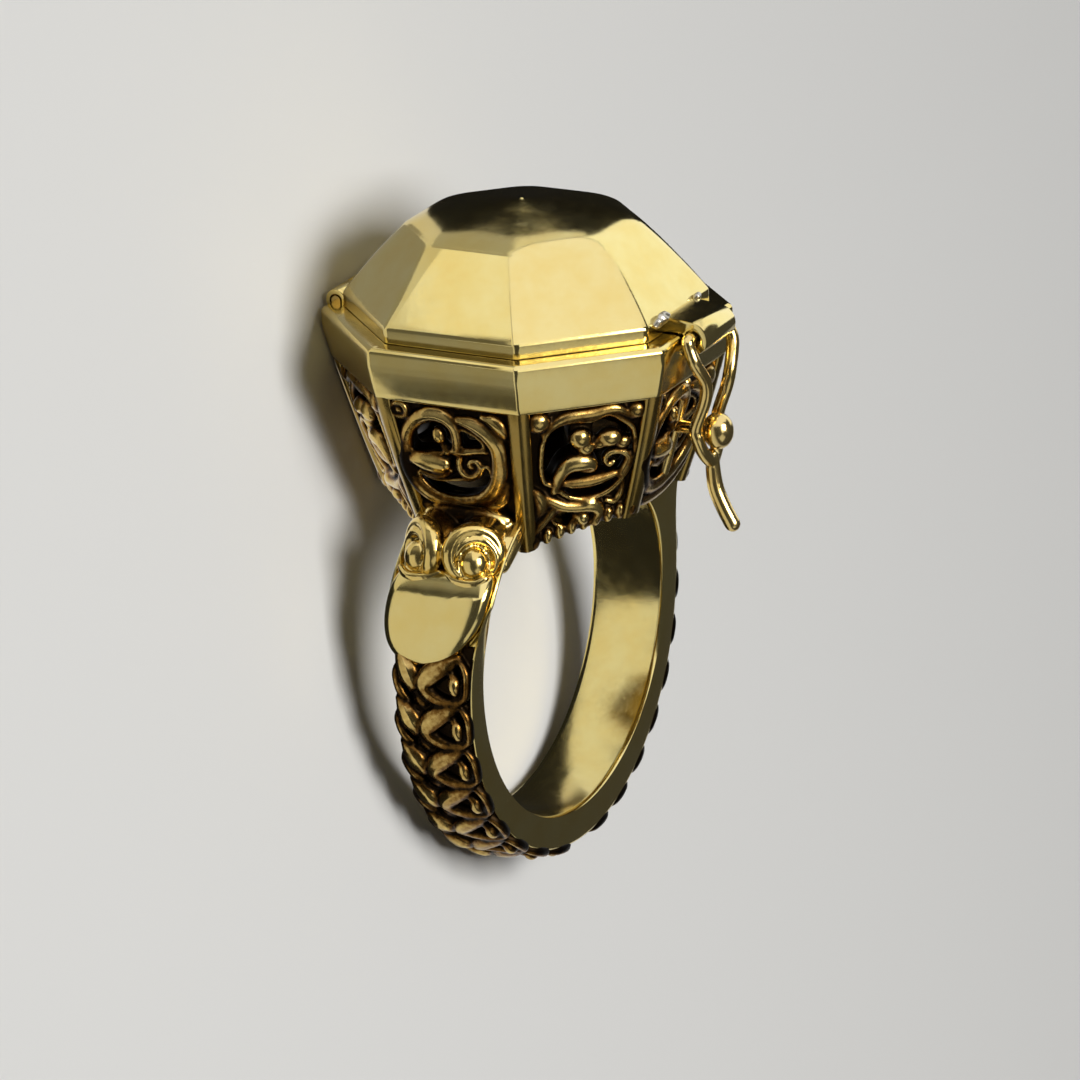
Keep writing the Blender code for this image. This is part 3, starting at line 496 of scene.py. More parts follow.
SIDE_STROKES = (
    # hood round the drop
    [(-2.95, .75, .3, .34, .1), (-2.62, 1.62, .3, .36, .14), (-1.96, 2.42, .3, .38, .18),
     (-1.15, 2.8, .34, .42, .2), (-.46, 2.76, .34, .42, .2), (.0, 2.36, .3, .4, .18),
     (.12, 1.72, .25, .36, .16), (.02, .9, .24, .34, .12)],
    # shoulder and right side of the wheel
    [(.42, 2.62, .2, .34, .14), (1.19, 2.5, .34, .42, .2), (1.91, 2.12, .42, .46, .22),
     (2.36, 1.5, .42, .46, .22), (2.42, .75, .4, .42, .18), (2.3, -.14, .4, .4, .16),
     (1.98, -1.04, .36, .4, .16), (1.47, -1.72, .34, .4, .16), (.69, -2.34, .3, .38, .14)],
    # foot and left side of the wheel
    [(.69, -2.34, .3, .38, .14), (-.4, -2.62, .28, .38, .14), (-1.43, -2.6, .28, .38, .14),
     (-2.18, -2.24, .3, .38, .14), (-2.76, -1.6, .33, .38, .14), (-3.08, -.8, .34, .38, .12),
     (-3.12, -.07, .34, .38, .12), (-2.95, .75, .32, .34, .1)],
    # bar across
    [(-.1, .62, .22, .34, .12), (.52, .66, .18, .32, .14), (1.11, .8, .16, .3, .14),
     (1.7, .84, .16, .28, .12)],
    # fat leaf from the left and the lip under it
    [(-2.85, -.1, .24, .34, .1), (-2.15, -.12, .42, .5, .18), (-1.46, -.18, .48, .54, .22),
     (-.98, -.3, .42, .48, .2)],
    [(-2.35, -.8, .1, .28, .12), (-1.61, -.98, .12, .3, .14), (-.95, -.9, .12, .3, .14),
     (-.55, -.62, .1, .28, .12)],
    # spiral
    [(.14, .45, .17, .3, .1), (-.04, -.15, .17, .3, .12), (.1, -.66, .17, .3, .14),
     (.52, -.82, .17, .3, .14), (.98, -.58, .17, .3, .14), (1.18, -.14, .15, .3, .14),
     (1.02, .14, .14, .28, .14), (.72, .12, .12, .26, .14), (.54, -.1, .11, .26, .14),
     (.62, -.34, .1, .24, .14)],
    # stalk of the hanging drop
    [(-.92, 1.3, .16, .24, .0), (-.8, .9, .2, .3, .0), (-.6, .5, .22, .34, .06)],
    # swelling under the wheel and beside it
    [(-2.81, -2.9, .2, .3, .06), (-1.72, -3.15, .34, .4, .1), (-.07, -3.1, .38, .42, .1),
     (1.06, -2.7, .38, .42, .1), (2.0, -2.0, .34, .38, .1), (2.6, -1.0, .16, .24, .06)],
    # corner leaf
    [(1.8, 2.98, .1, .3, .12), (2.45, 2.8, .3, .4, .18), (2.85, 2.3, .3, .38, .16),
     (2.9, 1.8, .12, .24, .1)],
)
CORNER_HOLES = (
    # left hole
    [(-2.12, .71), (-2.08, 1.43), (-1.81, 2.02), (-1.25, 2.36), (-.74, 2.4), (-.86, 1.72), (-.72, 1.1),
     (-.5, .66), (-.92, .4), (-1.3, -.03), (-1.52, -.54), (-1.72, -.91), (-1.96, -.77), (-2.11, -.14)],
    # right hole
    [(.5, 2.2), (.94, 2.6), (1.3, 2.5), (1.7, 2.14), (2.2, 1.83), (2.47, 1.28), (2.56, .6), (2.47, -.05),
     (2.23, -.62), (1.93, -.9), (1.5, -.98), (.8, -.9), (.1, -.94), (-.5, -.95), (-.95, -1.0),
     (-.92, -.72), (-.55, -.52), (.2, -.7), (.68, -.42), (.72, .11), (.5, .5), (.62, 1.2), (.42, 1.75)],
    # foot hole
    [(-.95, -1.45), (-.46, -1.62), (.48, -1.58), (1.2, -1.36), (1.7, -1.15), (1.62, -1.57), (1.23, -1.87),
     (.71, -2.04), (.08, -2.06), (-.56, -1.9), (-.9, -1.66)],
    # low hole
    [(-1.25, -2.98), (-.73, -2.86), (-.24, -3.0), (-.3, -3.42), (-.2, -3.84), (-.79, -3.9),
     (-1.36, -3.5)],
)
# edge round the opening of the corner design
CORNER_RIM = (
    (-2.24, .73), (-2.2, 1.5), (-1.93, 2.14), (-1.34, 2.52), (-.53, 2.6), (.22, 2.5), (.68, 2.66),
    (1.1, 2.8), (1.5, 2.68), (2.0, 2.26), (2.5, 1.75), (2.7, .7), (2.6, -.14), (2.33, -.83),
    (1.93, -1.5), (1.42, -2.0), (.72, -2.24), (-.01, -2.26), (-.72, -2.0), (-1.15, -1.6), (-1.55, -1.22),
    (-1.98, -.96), (-2.2, -.24),
)
CORNER_STROKES = (
    # leaf that rises from the foot of the opening and curls over to the right
    [(-1.42, -1.55, .24, .34, .1), (-1.25, -.76, .26, .4, .16), (-1.0, -.25, .32, .46, .2),
     (-.65, .02, .38, .5, .22), (-.2, .08, .4, .52, .24), (.2, .0, .36, .48, .22),
     (.46, -.22, .28, .4, .18), (.36, -.42, .22, .34, .16), (.0, -.42, .18, .3, .14)],
    # spiral on the right
    [(2.05, -.95, .17, .3, .12), (2.33, -.33, .18, .3, .14), (2.32, .09, .17, .3, .14),
     (2.0, .36, .15, .3, .14), (1.56, .42, .14, .29, .14), (1.22, .24, .13, .28, .14),
     (1.16, -.09, .13, .28, .14), (1.38, -.34, .13, .28, .14), (1.6, -.2, .12, .26, .14)],
    # long leaf across the foot, with its vein
    [(-1.0, -1.22, .16, .3, .06), (-.06, -1.28, .28, .36, .1), (.78, -1.22, .28, .36, .1),
     (1.75, -.98, .18, .3, .08)],
    [(-.6, -1.42, .07, .2, .22), (.3, -1.4, .07, .2, .26), (1.3, -1.16, .06, .18, .22)],
    # broad edge over the opening
    [(-2.2, 1.95, .14, .26, .1), (-1.7, 2.5, .2, .3, .14), (-.96, 2.84, .26, .32, .16),
     (.3, 2.88, .28, .32, .16), (1.55, 3.0, .24, .3, .16), (2.4, 2.4, .16, .26, .1)],
    # low scroll
    [(-2.0, -1.9, .22, .3, .1), (-1.22, -2.41, .28, .38, .16), (-.74, -2.6, .28, .4, .18),
     (.01, -2.68, .3, .42, .2), (.45, -2.64, .36, .44, .22), (.85, -2.86, .32, .42, .2),
     (1.0, -3.2, .27, .38, .18), (.9, -3.56, .23, .34, .16), (.55, -3.82, .2, .3, .14)],
    # left stroke down to the foot, and the leaf beside it
    [(-1.3, -2.45, .22, .34, .16), (-1.71, -3.19, .2, .32, .16), (-2.26, -4.03, .18, .3, .14),
     (-2.55, -4.9, .16, .26, .1)],
    [(-2.7, -1.2, .12, .3, .1), (-2.25, -1.85, .3, .4, .14), (-2.05, -2.45, .36, .4, .12),
     (-2.4, -3.2, .2, .3, .1)],
    # hook at the lower right
    [(1.4, -2.55, .12, .26, .14), (1.79, -2.66, .15, .28, .14), (2.04, -2.24, .16, .28, .14),
     (2.15, -1.6, .12, .24, .1)],
)
CORNER_BEADS = (
    (-.27, 1.5, .16, (.52, .5, .46)), (.05, .93, .16, (.42, .36, .42)), (1.31, 1.3, .14, (.56, .42, .42)),
    (2.0, .95, .1, (.4, .32, .34)), (.75, 1.05, .08, (.36, .3, .36)), (.14, -3.42, .18, (.36, .36, .38)),
    (-2.5, 2.7, .12, (.56, .48, .38)), (2.66, 2.72, .1, (.46, .4, .32)),
)


def fuller(line):
    """The same stroke, as fat as the casting."""
    return [(u, v, w * FULLNESS, h, n) for u, v, w, h, n in line]


def side_design(where):
    """Wheel with a hood, a fat leaf, a hanging drop and a small spiral, over an open crescent."""
    holes = [rounded(line) for line in SIDE_HOLES]
    parts = [stroke(where, fuller(line)) for line in SIDE_STROKES]
    parts += [lip(where, line, .1, .2, .2) for line in holes[:3]]
    parts.append(bead(where, -.9, 1.48, .14, (.36, .52, .4), 10))
    parts.append(bead(where, .74, -.22, .16, (.16, .16, .24)))
    eye = [(-2.93 + .42 * cos(a), 2.8 + .42 * sin(a), .13, .26, .16) for a in around(8)]
    parts.append(stroke(where, eye, steps=3, closed=True))
    parts.append(bead(where, -2.93, 2.8, .14, (.24, .24, .26)))
    parts.append(plate(where, holes))
    return parts


def corner_design(where):
    """Round opening with a curled leaf, berries and a spiral, and a low scroll over a row of drops."""
    holes = [rounded(line) for line in CORNER_HOLES]
    parts = [stroke(where, fuller(line)) for line in CORNER_STROKES]
    parts.append(lip(where, rounded(CORNER_RIM, 2), .16, .26, .16))
    parts.append(lip(where, holes[3], .1, .2, .16))
    parts += [bead(where, u, v, n, [r * BEAD_FULLNESS for r in radii]) for u, v, n, radii in CORNER_BEADS]
    # drops along the foot, rising with the arch
    for k in range(9):
        u = -2.2 + k * .62
        high = arch_height(where(u, -4.2, 0).x) + 0.45 - PANEL_MIDDLE_Z
        parts.append(bead(where, u, high / where.rise.z, .16, (.28, .5, .36), -6))
    parts.append(plate(where, holes))
    return parts


def scroll_panel(index):
    """Scrollwork of one face; corner faces, the even ones, take turns with side faces."""
    where = Panel(index)
    if index % 2 == 0:
        # corner faces that follow each other are mirrored
        where.flip = 1 if index in (6, 2) else -1
        parts = corner_design(where)
    else:
        parts = side_design(where)
    obj = cast(join("scroll_panel_%d" % index, parts), PANEL_VOXEL, 1)
    # painted shade beside the pillars
    rise, pillar_shade = [], []
    for vertex in obj.data.vertices:
        offset = vertex.co - where.base(vertex.co.z)
        rise.append(offset.dot(where.out))
        room = where.half(vertex.co.z) - PILLAR_WIDTH - abs(offset.dot(where.across))
        pillar_shade.append(max(0.0, 1 - max(room, 0) / 0.3) * 0.5)
    # the plate darkens low down and in hollows: patina and painted shade
    shade_relief(obj, rise, low=0.05, high=0.6, tarnish=0.42, edges=14.0, extra=np.array(pillar_shade))
    return obj


def values_of(items, field, kind, width):
    """A field of all items of a mesh, as rows of numbers."""
    values = np.zeros(len(items) * width, kind)
    items.foreach_get(field, values)
    return values.reshape(-1, width)


def curvature(obj):
    """How hollow the skin is at each point, in millimetres: positive in grooves."""
    mesh = obj.data
    co = values_of(mesh.vertices, "co", np.float32, 3).astype(float)
    normals = values_of(mesh.vertex_normals, "vector", np.float32, 3)
    edges = values_of(mesh.edges, "vertices", np.int64, 2)
    degree = np.bincount(edges.ravel(), minlength=len(co)).clip(1)

    def average(values):
        total = np.zeros_like(values)
        np.add.at(total, edges[:, 0], values[edges[:, 1]])
        np.add.at(total, edges[:, 1], values[edges[:, 0]])
        return total / (degree[:, None] if values.ndim == 2 else degree)

    smooth = co
    for _ in range(4):
        smooth = average(smooth)
    hollow = ((smooth - co) * normals).sum(1)
    for _ in range(2):
        hollow = average(hollow)
    return hollow


def shade_relief(obj, rise, low, high, tarnish, edges, extra=0.0):
    """Store how dark the antiquing is at each point: 1 in the bottom of a groove, less on rubbed edges. The
    darkening of low and hollow places is patina together with painted shade.
    """
    depth = 1 - (np.array(rise) - low) / (high - low)
    # low places and hollows darken: patina and painted shade; convex edges lighten, as rubbed wear
    patina_and_shade = np.clip(tarnish + depth.clip(-0.3, 1.3) * 0.75 + curvature(obj) * edges + extra, 0, 1)
    layer = obj.data.attributes.new("patina_and_shade", "FLOAT", "POINT")
    layer.data.foreach_set("value", patina_and_shade.astype(np.float32))


# Shank

LEAF_ROWS, LEAF_START, LEAF_PITCH, LEAF_END, LEAF_FULLNESS = 8, 9.4, 12.0, 101, 1.16
LEAF_STROKES = (
    # hook round the hollow, and the edge beside it
    [(7.2, -1.35, .24, .36, .4), (5.4, -.75, .44, .46, .5), (3.2, -.02, .54, .54, .54),
     (.9, .42, .5, .54, .54), (-1.5, .34, .4, .46, .5), (-3.3, -.1, .36, .42, .48),
     (-4.3, -.8, .3, .38, .46), (-3.6, -1.5, .2, .34, .42)],
    [(7.0, -1.5, .14, .3, .42), (4.4, -1.84, .17, .32, .44), (1.0, -1.92, .17, .32, .44),
     (-2.4, -1.8, .17, .32, .42), (-3.8, -1.4, .16, .3, .42)],
    # lobe, and the curl beside it
    [(7.4, 1.95, .2, .34, .46), (5.4, 1.66, .42, .5, .52), (2.6, 1.3, .56, .6, .56),
     (.0, 1.12, .44, .5, .5), (-1.7, 1.2, .2, .36, .42)],
    [(4.8, 1.86, .18, .34, .48), (2.4, 2.04, .24, .36, .5), (-.4, 2.0, .24, .36, .48),
     (-3.0, 1.8, .24, .34, .48), (-4.6, 1.5, .18, .3, .44)],
    # low leaf between them
    [(-2.4, .95, .24, .3, .34), (-4.2, .7, .36, .38, .38), (-5.6, .6, .3, .34, .36),
     (-6.6, 1.1, .2, .28, .36)],
)
SADDLE_OUTLINE = (
    (126, 0.0), (125.5, 1.5), (122, 2.35), (117, 2.72), (111, 2.86), (106, 2.78), (102.2, 2.5),
    (99.4, 1.95), (98.2, 1.2), (98.1, .4), (98.9, -.4), (100.6, -1.0), (103.4, -1.62), (107, -2.14),
    (111, -2.48), (115, -2.66), (119, -2.7), (123, -2.5), (125.5, -1.5),
)
# share of the outline and height over the rails, from the foot to the top
SADDLE_ROWS = (
    (0.97, -.7), (1.02, -.25), (1.03, -.05), (1.025, .12), (1.005, .27), (.975, .4), (.93, .495),
    (.87, .555), (.78, .6), (.6, .65), (.4, .685), (.2, .70), (.04, .705),
)
# turns of a horn: angle, radius, half width, half height, how far out and how far down
HORN_TURNS = (
    [(250, 1.3, .24, .34, -.1, 0), (205, 1.3, .36, .46, .02, 0), (160, 1.28, .4, .52, .08, 0),
     (110, 1.28, .4, .54, .12, 0), (60, 1.28, .38, .54, .12, 0), (10, 1.28, .36, .5, .1, 0),
     (-40, 1.26, .32, .46, .06, .05), (-90, 1.2, .26, .42, .02, .15), (-130, 1.1, .22, .36, .0, .25)],
    [(165, .98, .14, .3, .1, .3), (130, 1.06, .2, .38, .2, .32), (90, 1.1, .23, .42, .26, .34),
     (45, 1.1, .23, .42, .28, .36), (0, 1.08, .22, .4, .26, .38), (-35, 1.02, .16, .34, .2, .4)],
)
SHOULDER_EDGE = (
    (121.4, .2, .2, .3, .12), (120.0, .7, .28, .36, .2), (119.3, 1.4, .32, .4, .24),
    (119.8, 2.0, .28, .36, .2), (121.4, 2.4, .2, .3, .12),
)


def shank_half_width(angle):
    share = min(abs(angle) / radians(115), 1.0) ** 10
    return SHANK_HALF + SHOULDER_GROWTH * share


def shank_outer(angle):
    """Radius of the rails, which tuck in under the shoulders."""
    tuck = max(0.0, (abs(angle) - radians(114)) / radians(38))
    return RAIL_RADIUS * (1 - 0.13 * min(tuck, 1.2) ** 1.3)


def shank():
    """Smooth inside, plain flanks that lean out on the shoulders, and a rail on each edge."""
    rows = []
    for k in range(261):
        angle = radians(152) * (2 * k / 260 - 1)
        half, rail, inner = shank_half_width(angle), shank_outer(angle), finger_reach(angle)
        lean = (half - SHANK_HALF) * SHANK_LEAN / RAIL_THICKNESS
        root = half - lean * max(0.0, rail - inner)
        line = [(inner, root - 0.3), (inner + 0.02, root - 0.12), (inner + 0.07, root - 0.02),
                (inner + 0.16, root + 0.03 * lean), (rail - 0.16, half - 0.06 * lean),
                (rail - 0.05, half - 0.03), (rail, half - 0.09), (rail - 0.02, half - 0.15),
                (rail - 0.12, half - 0.21), (rail - GROOVE_DEPTH, half - 0.3)]
        line += [(r, -y) for r, y in reversed(line)]
        rows.append([on_circle(angle, r, y) for r, y in line])
    return grid("shank_band", rows, caps=True)


def leaf_ground():
    """Low crowned strip under the leaves."""
    rows = []
    top = GROUND_RADIUS + 0.31
    for k in range(121):
        angle = radians(104) * (2 * k / 120 - 1)
        half = shank_half_width(angle) - 0.2
        line = ((top - 0.6, half), (top - 0.12, half), (top, 0), (top - 0.12, -half), (top - 0.6, -half))
        rows.append([on_circle(angle, r, y) for r, y in line])
    return grid("ground", rows, caps=True)


def leaf_relief():
    """Cast leaves round the shank: hooked leaves, each round a hollow with a bud, and a row of lobes."""
    parts = []
    for side in (1, -1):
        where = Band(GROUND_RADIUS - 0.02, side)
        for row in range(LEAF_ROWS):
            u = LEAF_START + LEAF_PITCH * row
            for line in LEAF_STROKES:
                points = [(u + a, b - .04, w * LEAF_FULLNESS, h, n) for a, b, w, h, n in line
                          if u + a < LEAF_END]
                if len(points) > 2:
                    parts.append(stroke(where, points, sides=10))
            parts.append(bead(where, u + .5, -1.32, .5, (.62, .36, .5), 4))
            parts.append(bead(where, u + 2.9, -1.18, .42, (.4, .2, .4), 14))
    parts.append(leaf_ground())
    obj = cast(join("shank_leaves", parts), LEAF_VOXEL, 1)
    # darker towards the ground between the leaves: patina and painted shade
    rise = [hypot(v.co.x, v.co.z) - GROUND_RADIUS for v in obj.data.vertices]
    shade_relief(obj, rise, low=0.36, high=1.0, tarnish=0.6, edges=14.0)
    return obj


def saddle(name, side):
    """Plain polished tongue on the shoulder, its edge rounded over, its top just under the volutes."""
    ring = [Vector((p[0], p[1])) for p in curve_points([*SADDLE_OUTLINE, SADDLE_OUTLINE[0]], 6)[:-1]]
    middle = Vector((112, -.1))
    rows = []
    for share, lift in SADDLE_ROWS:
        row = []
        for p in ring:
            q = middle + (p - middle) * share
            tuck = max(0.0, (q.x - 116) / 38)
            r = RAIL_RADIUS * (1 - 0.26 * tuck ** 1.2) + lift
            row.append(on_circle(radians(q.x), r, q.y, side))
        rows.append(row)
    return grid(name, rows, caps=True)


def horn(side, row):
    """One ram's horn with its knob, its root in the head and the cheek under it."""
    parts = []
    centre = Vector((side * 9.3, row * 1.4, 7.06))
    out = Vector((side * cos(HORN_SPLAY), row * sin(HORN_SPLAY), 0.26)).normalized()
    across = Vector((0, 0, 1)).cross(out).normalized() * (row * side)
    up = out.cross(across) * (row * side)
    for knots in HORN_TURNS:
        line, widths, heights = [], [], []
        for a, r, w, h, n, sink in curve_points(knots, 5):
            line.append(centre + across * cos(radians(a)) * r + up * (sin(radians(a)) * r - sink) + out * n)
            widths.append(w)
            heights.append(h)
        parts.append(sweep("scroll", line, widths, heights, [out] * len(line)))
    turn = Matrix((across, up, out)).transposed()
    parts.append(ball("knob", centre + out * .3 - up * 0.42 - across * 0.08, (.72, .86, .7), turn, 32))
    root = Vector((side * HALF_X * 0.68, row * 1.05, 7.7))
    parts.append(rod("horn", root, centre - out * 0.2, 1.3))
    places = ((6.6, 2.45, 7.8), (7.5, 2.5, 7.2), (8.5, 2.5, 6.4))
    cheek = [Vector((side * x, row * y, z)) for x, y, z in places]
    parts.append(sweep("cheek", cheek, [.5, .62, .5], [.5, .62, .5], [out] * 3))
    return parts


def volute_pair(name, side):
    """Ram's-horn scrolls on a shoulder: knobbed spirals, splayed, under a low collar."""
    parts = horn(side, -1) + horn(side, 1)
    # Band counts its sides the other way, so this rolled edge lies on the other shoulder; the two
    # pieces complete each other
    where = Band(RAIL_RADIUS, side)
    for v in (-1, 1):
        parts.append(stroke(where, [(a, b * v, w, h, n) for a, b, w, h, n in SHOULDER_EDGE]))
    collar = [(7.1, 2.1, 8.2, .4), (7.5, 1.2, 8.4, .5), (7.5, 0, 8.4, .5), (7.5, -1.2, 8.4, .5),
              (7.1, -2.1, 8.2, .4)]
    line = curve_points(collar, 5)
    parts.append(sweep("collar", [Vector((side * p[0], p[1], p[2])) for p in line], [p[3] for p in line],
                       [p[3] * .9 for p in line], [Vector((side, 0, .3))] * len(line)))
    obj = cast(join(name, parts), VOLUTE_VOXEL, 2)
    # painted shade and patina: lighter far out from the middle of the shoulder, darker over the horns and
    # under them
    rise = []
    for v in obj.data.vertices:
        above = max(0.0, v.co.z - 7.9)
        below = max(0.0, 5.75 - v.co.z)
        rise.append((v.co - Vector((side * 7.6, 0, 6.6))).length - 1.45 - above * .9 - below * .6)
    shade_relief(obj, rise, low=0.1, high=0.9, tarnish=0.08, edges=10.0)
    return obj


# Hinge, stud, lid and hasp

LID_KNOTS = (
    (.16, .16, .6, 0), (.86, 1.14, 1.0, 0), (1.8, 2.36, 1.4, 0), (2.66, 3.36, 1.8, 0),
    (2.95, 3.6, 1.9, 0), (3.25, 3.77, 2.0, .02), (3.65, 3.92, 2.2, .06), (4.2, 4.06, 2.4, .14),
    (4.9, 4.2, 2.6, .26), (5.7, 4.35, 2.8, .42), (6.6, 4.51, 2.8, .62), (7.4, 4.66, 2.2, .82),
    (8.2, 4.8, 1.2, .95),
)
# the wire down from the lug: shares of its span, of the drop to the ball and of the ball's radius outwards
HASP_PATH = ((1.00, 0.00, 0.00), (1.02, 0.08, 0.12), (1.0, 0.22, 0.46), (0.68, 0.43, 0.68), (0.58, 0.62, 0.5))
# the eye round the ball: share of its half width, and millimetres below the ball's middle
HASP_EYE = ((1.0, -0.5), (0.98, 0.15), (0.72, 0.85), (0.34, 1.4), (0.0, 1.68))
# the lifting tail: millimetres along Y, and share of its length, from where both halves meet
TAIL_BEND = ((-0.12, 0.36), (-0.56, 0.68), (-1.02, 0.92))


def stud():
    """Ball on a short post, and the upright bar on the front face that it stands on."""
    wall = -HALF_Y + cup_inset(STUD_Z) + 1.0
    post = rod("post", (0, wall, STUD_Z), (0, STUD_Y, STUD_Z), POST_RADIUS)
    bar = stroke(Panel(7), [(.03, v, .36, .36, .1) for v in (-2.6, 0, 2.9)])
    knob = ball("ball", (0, STUD_Y, STUD_Z), (STUD_RADIUS, STUD_RADIUS, STUD_RADIUS * 1.2), sides=64)
    return join("ball_stud", [post, bar, knob])


def hinge_bore():
    """Cutter for the pin."""
    return axle("bore", (-BORE_REACH, BORE_REACH), (HINGE_Y, HINGE_Z), PIN_BORE)


def ring_knuckles():
    start, end = KNUCKLE_START, KNUCKLE_START + KNUCKLE_LENGTH
    made = [axle("knuckle", (s * start, s * end), (HINGE_Y, HINGE_Z), HINGE_RADIUS, 0.08) for s in (-1, 1)]
    return combine(join("ring_knuckles", made), [hinge_bore()])


def lid_shell():
    """Faceted lid: upright edge, eight slightly full facets and a low dome."""
    ledge, side = LID_LEDGE, LID_SIDE_Z
    # inset, height, rounding of the corners and how oval: inside from the top down, then outside up
    profile = [(9.2, side + 3.5, .02, 1), (7.0, side + 3.4, .3, .5), (4.6, side + 2.9, .3, 0),
               (2.7, side + .9, .3, 0), (2.0, side, .3, 0), (2.0, LID_Z, .3, 0),
               (1.09, LID_Z, .5, 0), (1.035, LID_Z + .02, .5, 0), (ledge, LID_Z + .07, .5, 0),
               (ledge, side - .2, .5, 0), (ledge + .02, side - .08, .5, 0), (ledge + .08, side + .02, .55, 0),
               (ledge + .16, side + .15, .6, 0)]
    for inset, rise, rounding, oval in curve_points(LID_KNOTS, 5)[1:]:
        profile.append((ledge + min(inset, 8.17), side + rise, max(rounding, .02), oval))
    profile.append((9.22, 23.0, .02, 1))
    rows = [section(inset, z, rounding, 6, min(max(oval, 0), 1)) for inset, z, rounding, oval in profile]
    rooms = [axle("knuckle_room", (s * 1.23, s * 3.4), (HINGE_Y, HINGE_Z), HINGE_RADIUS + MOVING_GAP)
             for s in (-1, 1)]
    return combine(grid("lid_shell", rows, caps=True), rooms)


def lid_knuckle():
    half, low, high = LID_KNUCKLE_HALF, LID_Z + 0.15, LID_Z + 0.6
    knuckle = axle("knuckle", (-half, half), (HINGE_Y, HINGE_Z), HINGE_RADIUS, 0.06)
    line = ((8.3, low), (8.3, high), (HINGE_Y - 0.1, high), (HINGE_Y - 0.1, low))
    leaf = grid("leaf", [[Vector((x, y, z)) for y, z in line] for x in (-1.17, 1.17)], caps=True)
    return combine(join("lid_knuckle", [knuckle, leaf]), [hinge_bore()])


def lug():
    """Thick strap from the lid's edge, rolled into a barrel round the wire."""
    half = LUG_LENGTH / 2
    barrel = axle("barrel", (-half, half), (LUG_Y, LUG_Z), LUG_RADIUS, 0.1)
    top = LUG_Z + LUG_RADIUS - 0.02
    line = [(-8.5, LID_SIDE_Z - 0.06), (-9.3, LID_SIDE_Z - 0.05), (LUG_Y - 0.05, top),
            (LUG_Y + 0.5, LUG_Z + 0.3), (LUG_Y + 0.55, LID_Z + 0.07), (-8.5, LID_Z + 0.05)]
    rows = [[Vector((x, y, z)) for y, z in line] for x in (-half + .02, half - .02)]
    strap = grid("strap", rows, caps=True)
    bore = axle("bore", (-BORE_REACH, BORE_REACH), (LUG_Y, LUG_Z), WIRE_RADIUS + WIRE_GAP)
    combine(strap, [barrel], "UNION")
    return combine(strap, [bore])


def solder():
    """Rough drop of solder beside the strap."""
    drops = (((-2.0, -8.85, LID_SIDE_Z + 0.05), (.55, .28, .32)),
             ((-2.45, -8.8, LID_SIDE_Z - 0.1), (.4, .24, .26)),
             ((1.9, -8.82, LID_SIDE_Z - 0.05), (.3, .22, .24)))
    made = [ball("drop", centre, radii) for centre, radii in drops]
    obj = cast(join("solder", made), SOLDER_VOXEL, 2)
    for vertex in obj.data.vertices:
        x, y, z = vertex.co * 9
        vertex.co += Vector((0, -.03, .03)) * (sin(x * 1.3 + z) + sin(z * 1.7 - y))
    return obj


def hasp_line():
    """Right half of the wire, from the lug round the ball to where both halves meet."""
    span = LUG_LENGTH / 2 + WIRE_RADIUS + WIRE_GAP
    drop = LUG_Z - STUD_Z
    eye = STUD_RADIUS + WIRE_RADIUS + WIRE_GAP
    behind = STUD_Y + STUD_RADIUS * 0.7
    points = [Vector((x * span, LUG_Y - out * STUD_RADIUS, LUG_Z - z * drop)) for x, z, out in HASP_PATH]
    points += [Vector((eye * share, behind - 0.1 * down, STUD_Z - down)) for share, down in HASP_EYE]
    return points


def clasp():
    """Wire loop through the lug and round the ball stud, and its lifting tail."""
    right = hasp_line()
    left = [Vector((-p.x, p.y, p.z)) for p in reversed(right[:-1])]
    span = right[0].x
    bar = [Vector((-span + 2 * span * t / 6, LUG_Y, LUG_Z)) for t in range(1, 6)]
    loop = right + left + bar
    line = [Vector(p) for p in curve_points(loop + [loop[0]], 8)[:-1]]
    count = len(line)
    guide = Vector((0, -1, 0.2))
    guides = []
    for i in range(count):
        ahead = (line[(i + 1) % count] - line[i - 1]).normalized()
        guide = (guide - ahead * guide.dot(ahead)).normalized()
        guides.append(guide)
    thin = [WIRE_RADIUS] * count
    wire = sweep("clasp_wire", line, thin, thin, guides, sides=20, closed=True)
    foot, drop = right[-1], STUD_RADIUS * 4.4
    bend = [foot + Vector((0, 0, 0.35))] + [foot + Vector((0, y, -drop * share)) for y, share in TAIL_BEND]
    tail = [Vector(p) for p in curve_points(bend, 8)]
    thick = [TAIL_RADIUS * (0.84 + 0.18 * min(1, k / 8)) for k in range(len(tail))]
    handle = sweep("tail", tail, thick, thick, [Vector((1, 0, 0))] * len(tail), sides=24)
    return cast(join("clasp_wire", [wire, handle]), WIRE_VOXEL, 3)


# Materials

def plain_material(name, values):
    """Material with numbers and colours set on its shader."""
    material = bpy.data.materials.new(name)
    material.use_nodes = True
    shader = material.node_tree.nodes["Principled BSDF"]
    for socket, value in values.items():
        shader.inputs[socket].default_value = value
    return material


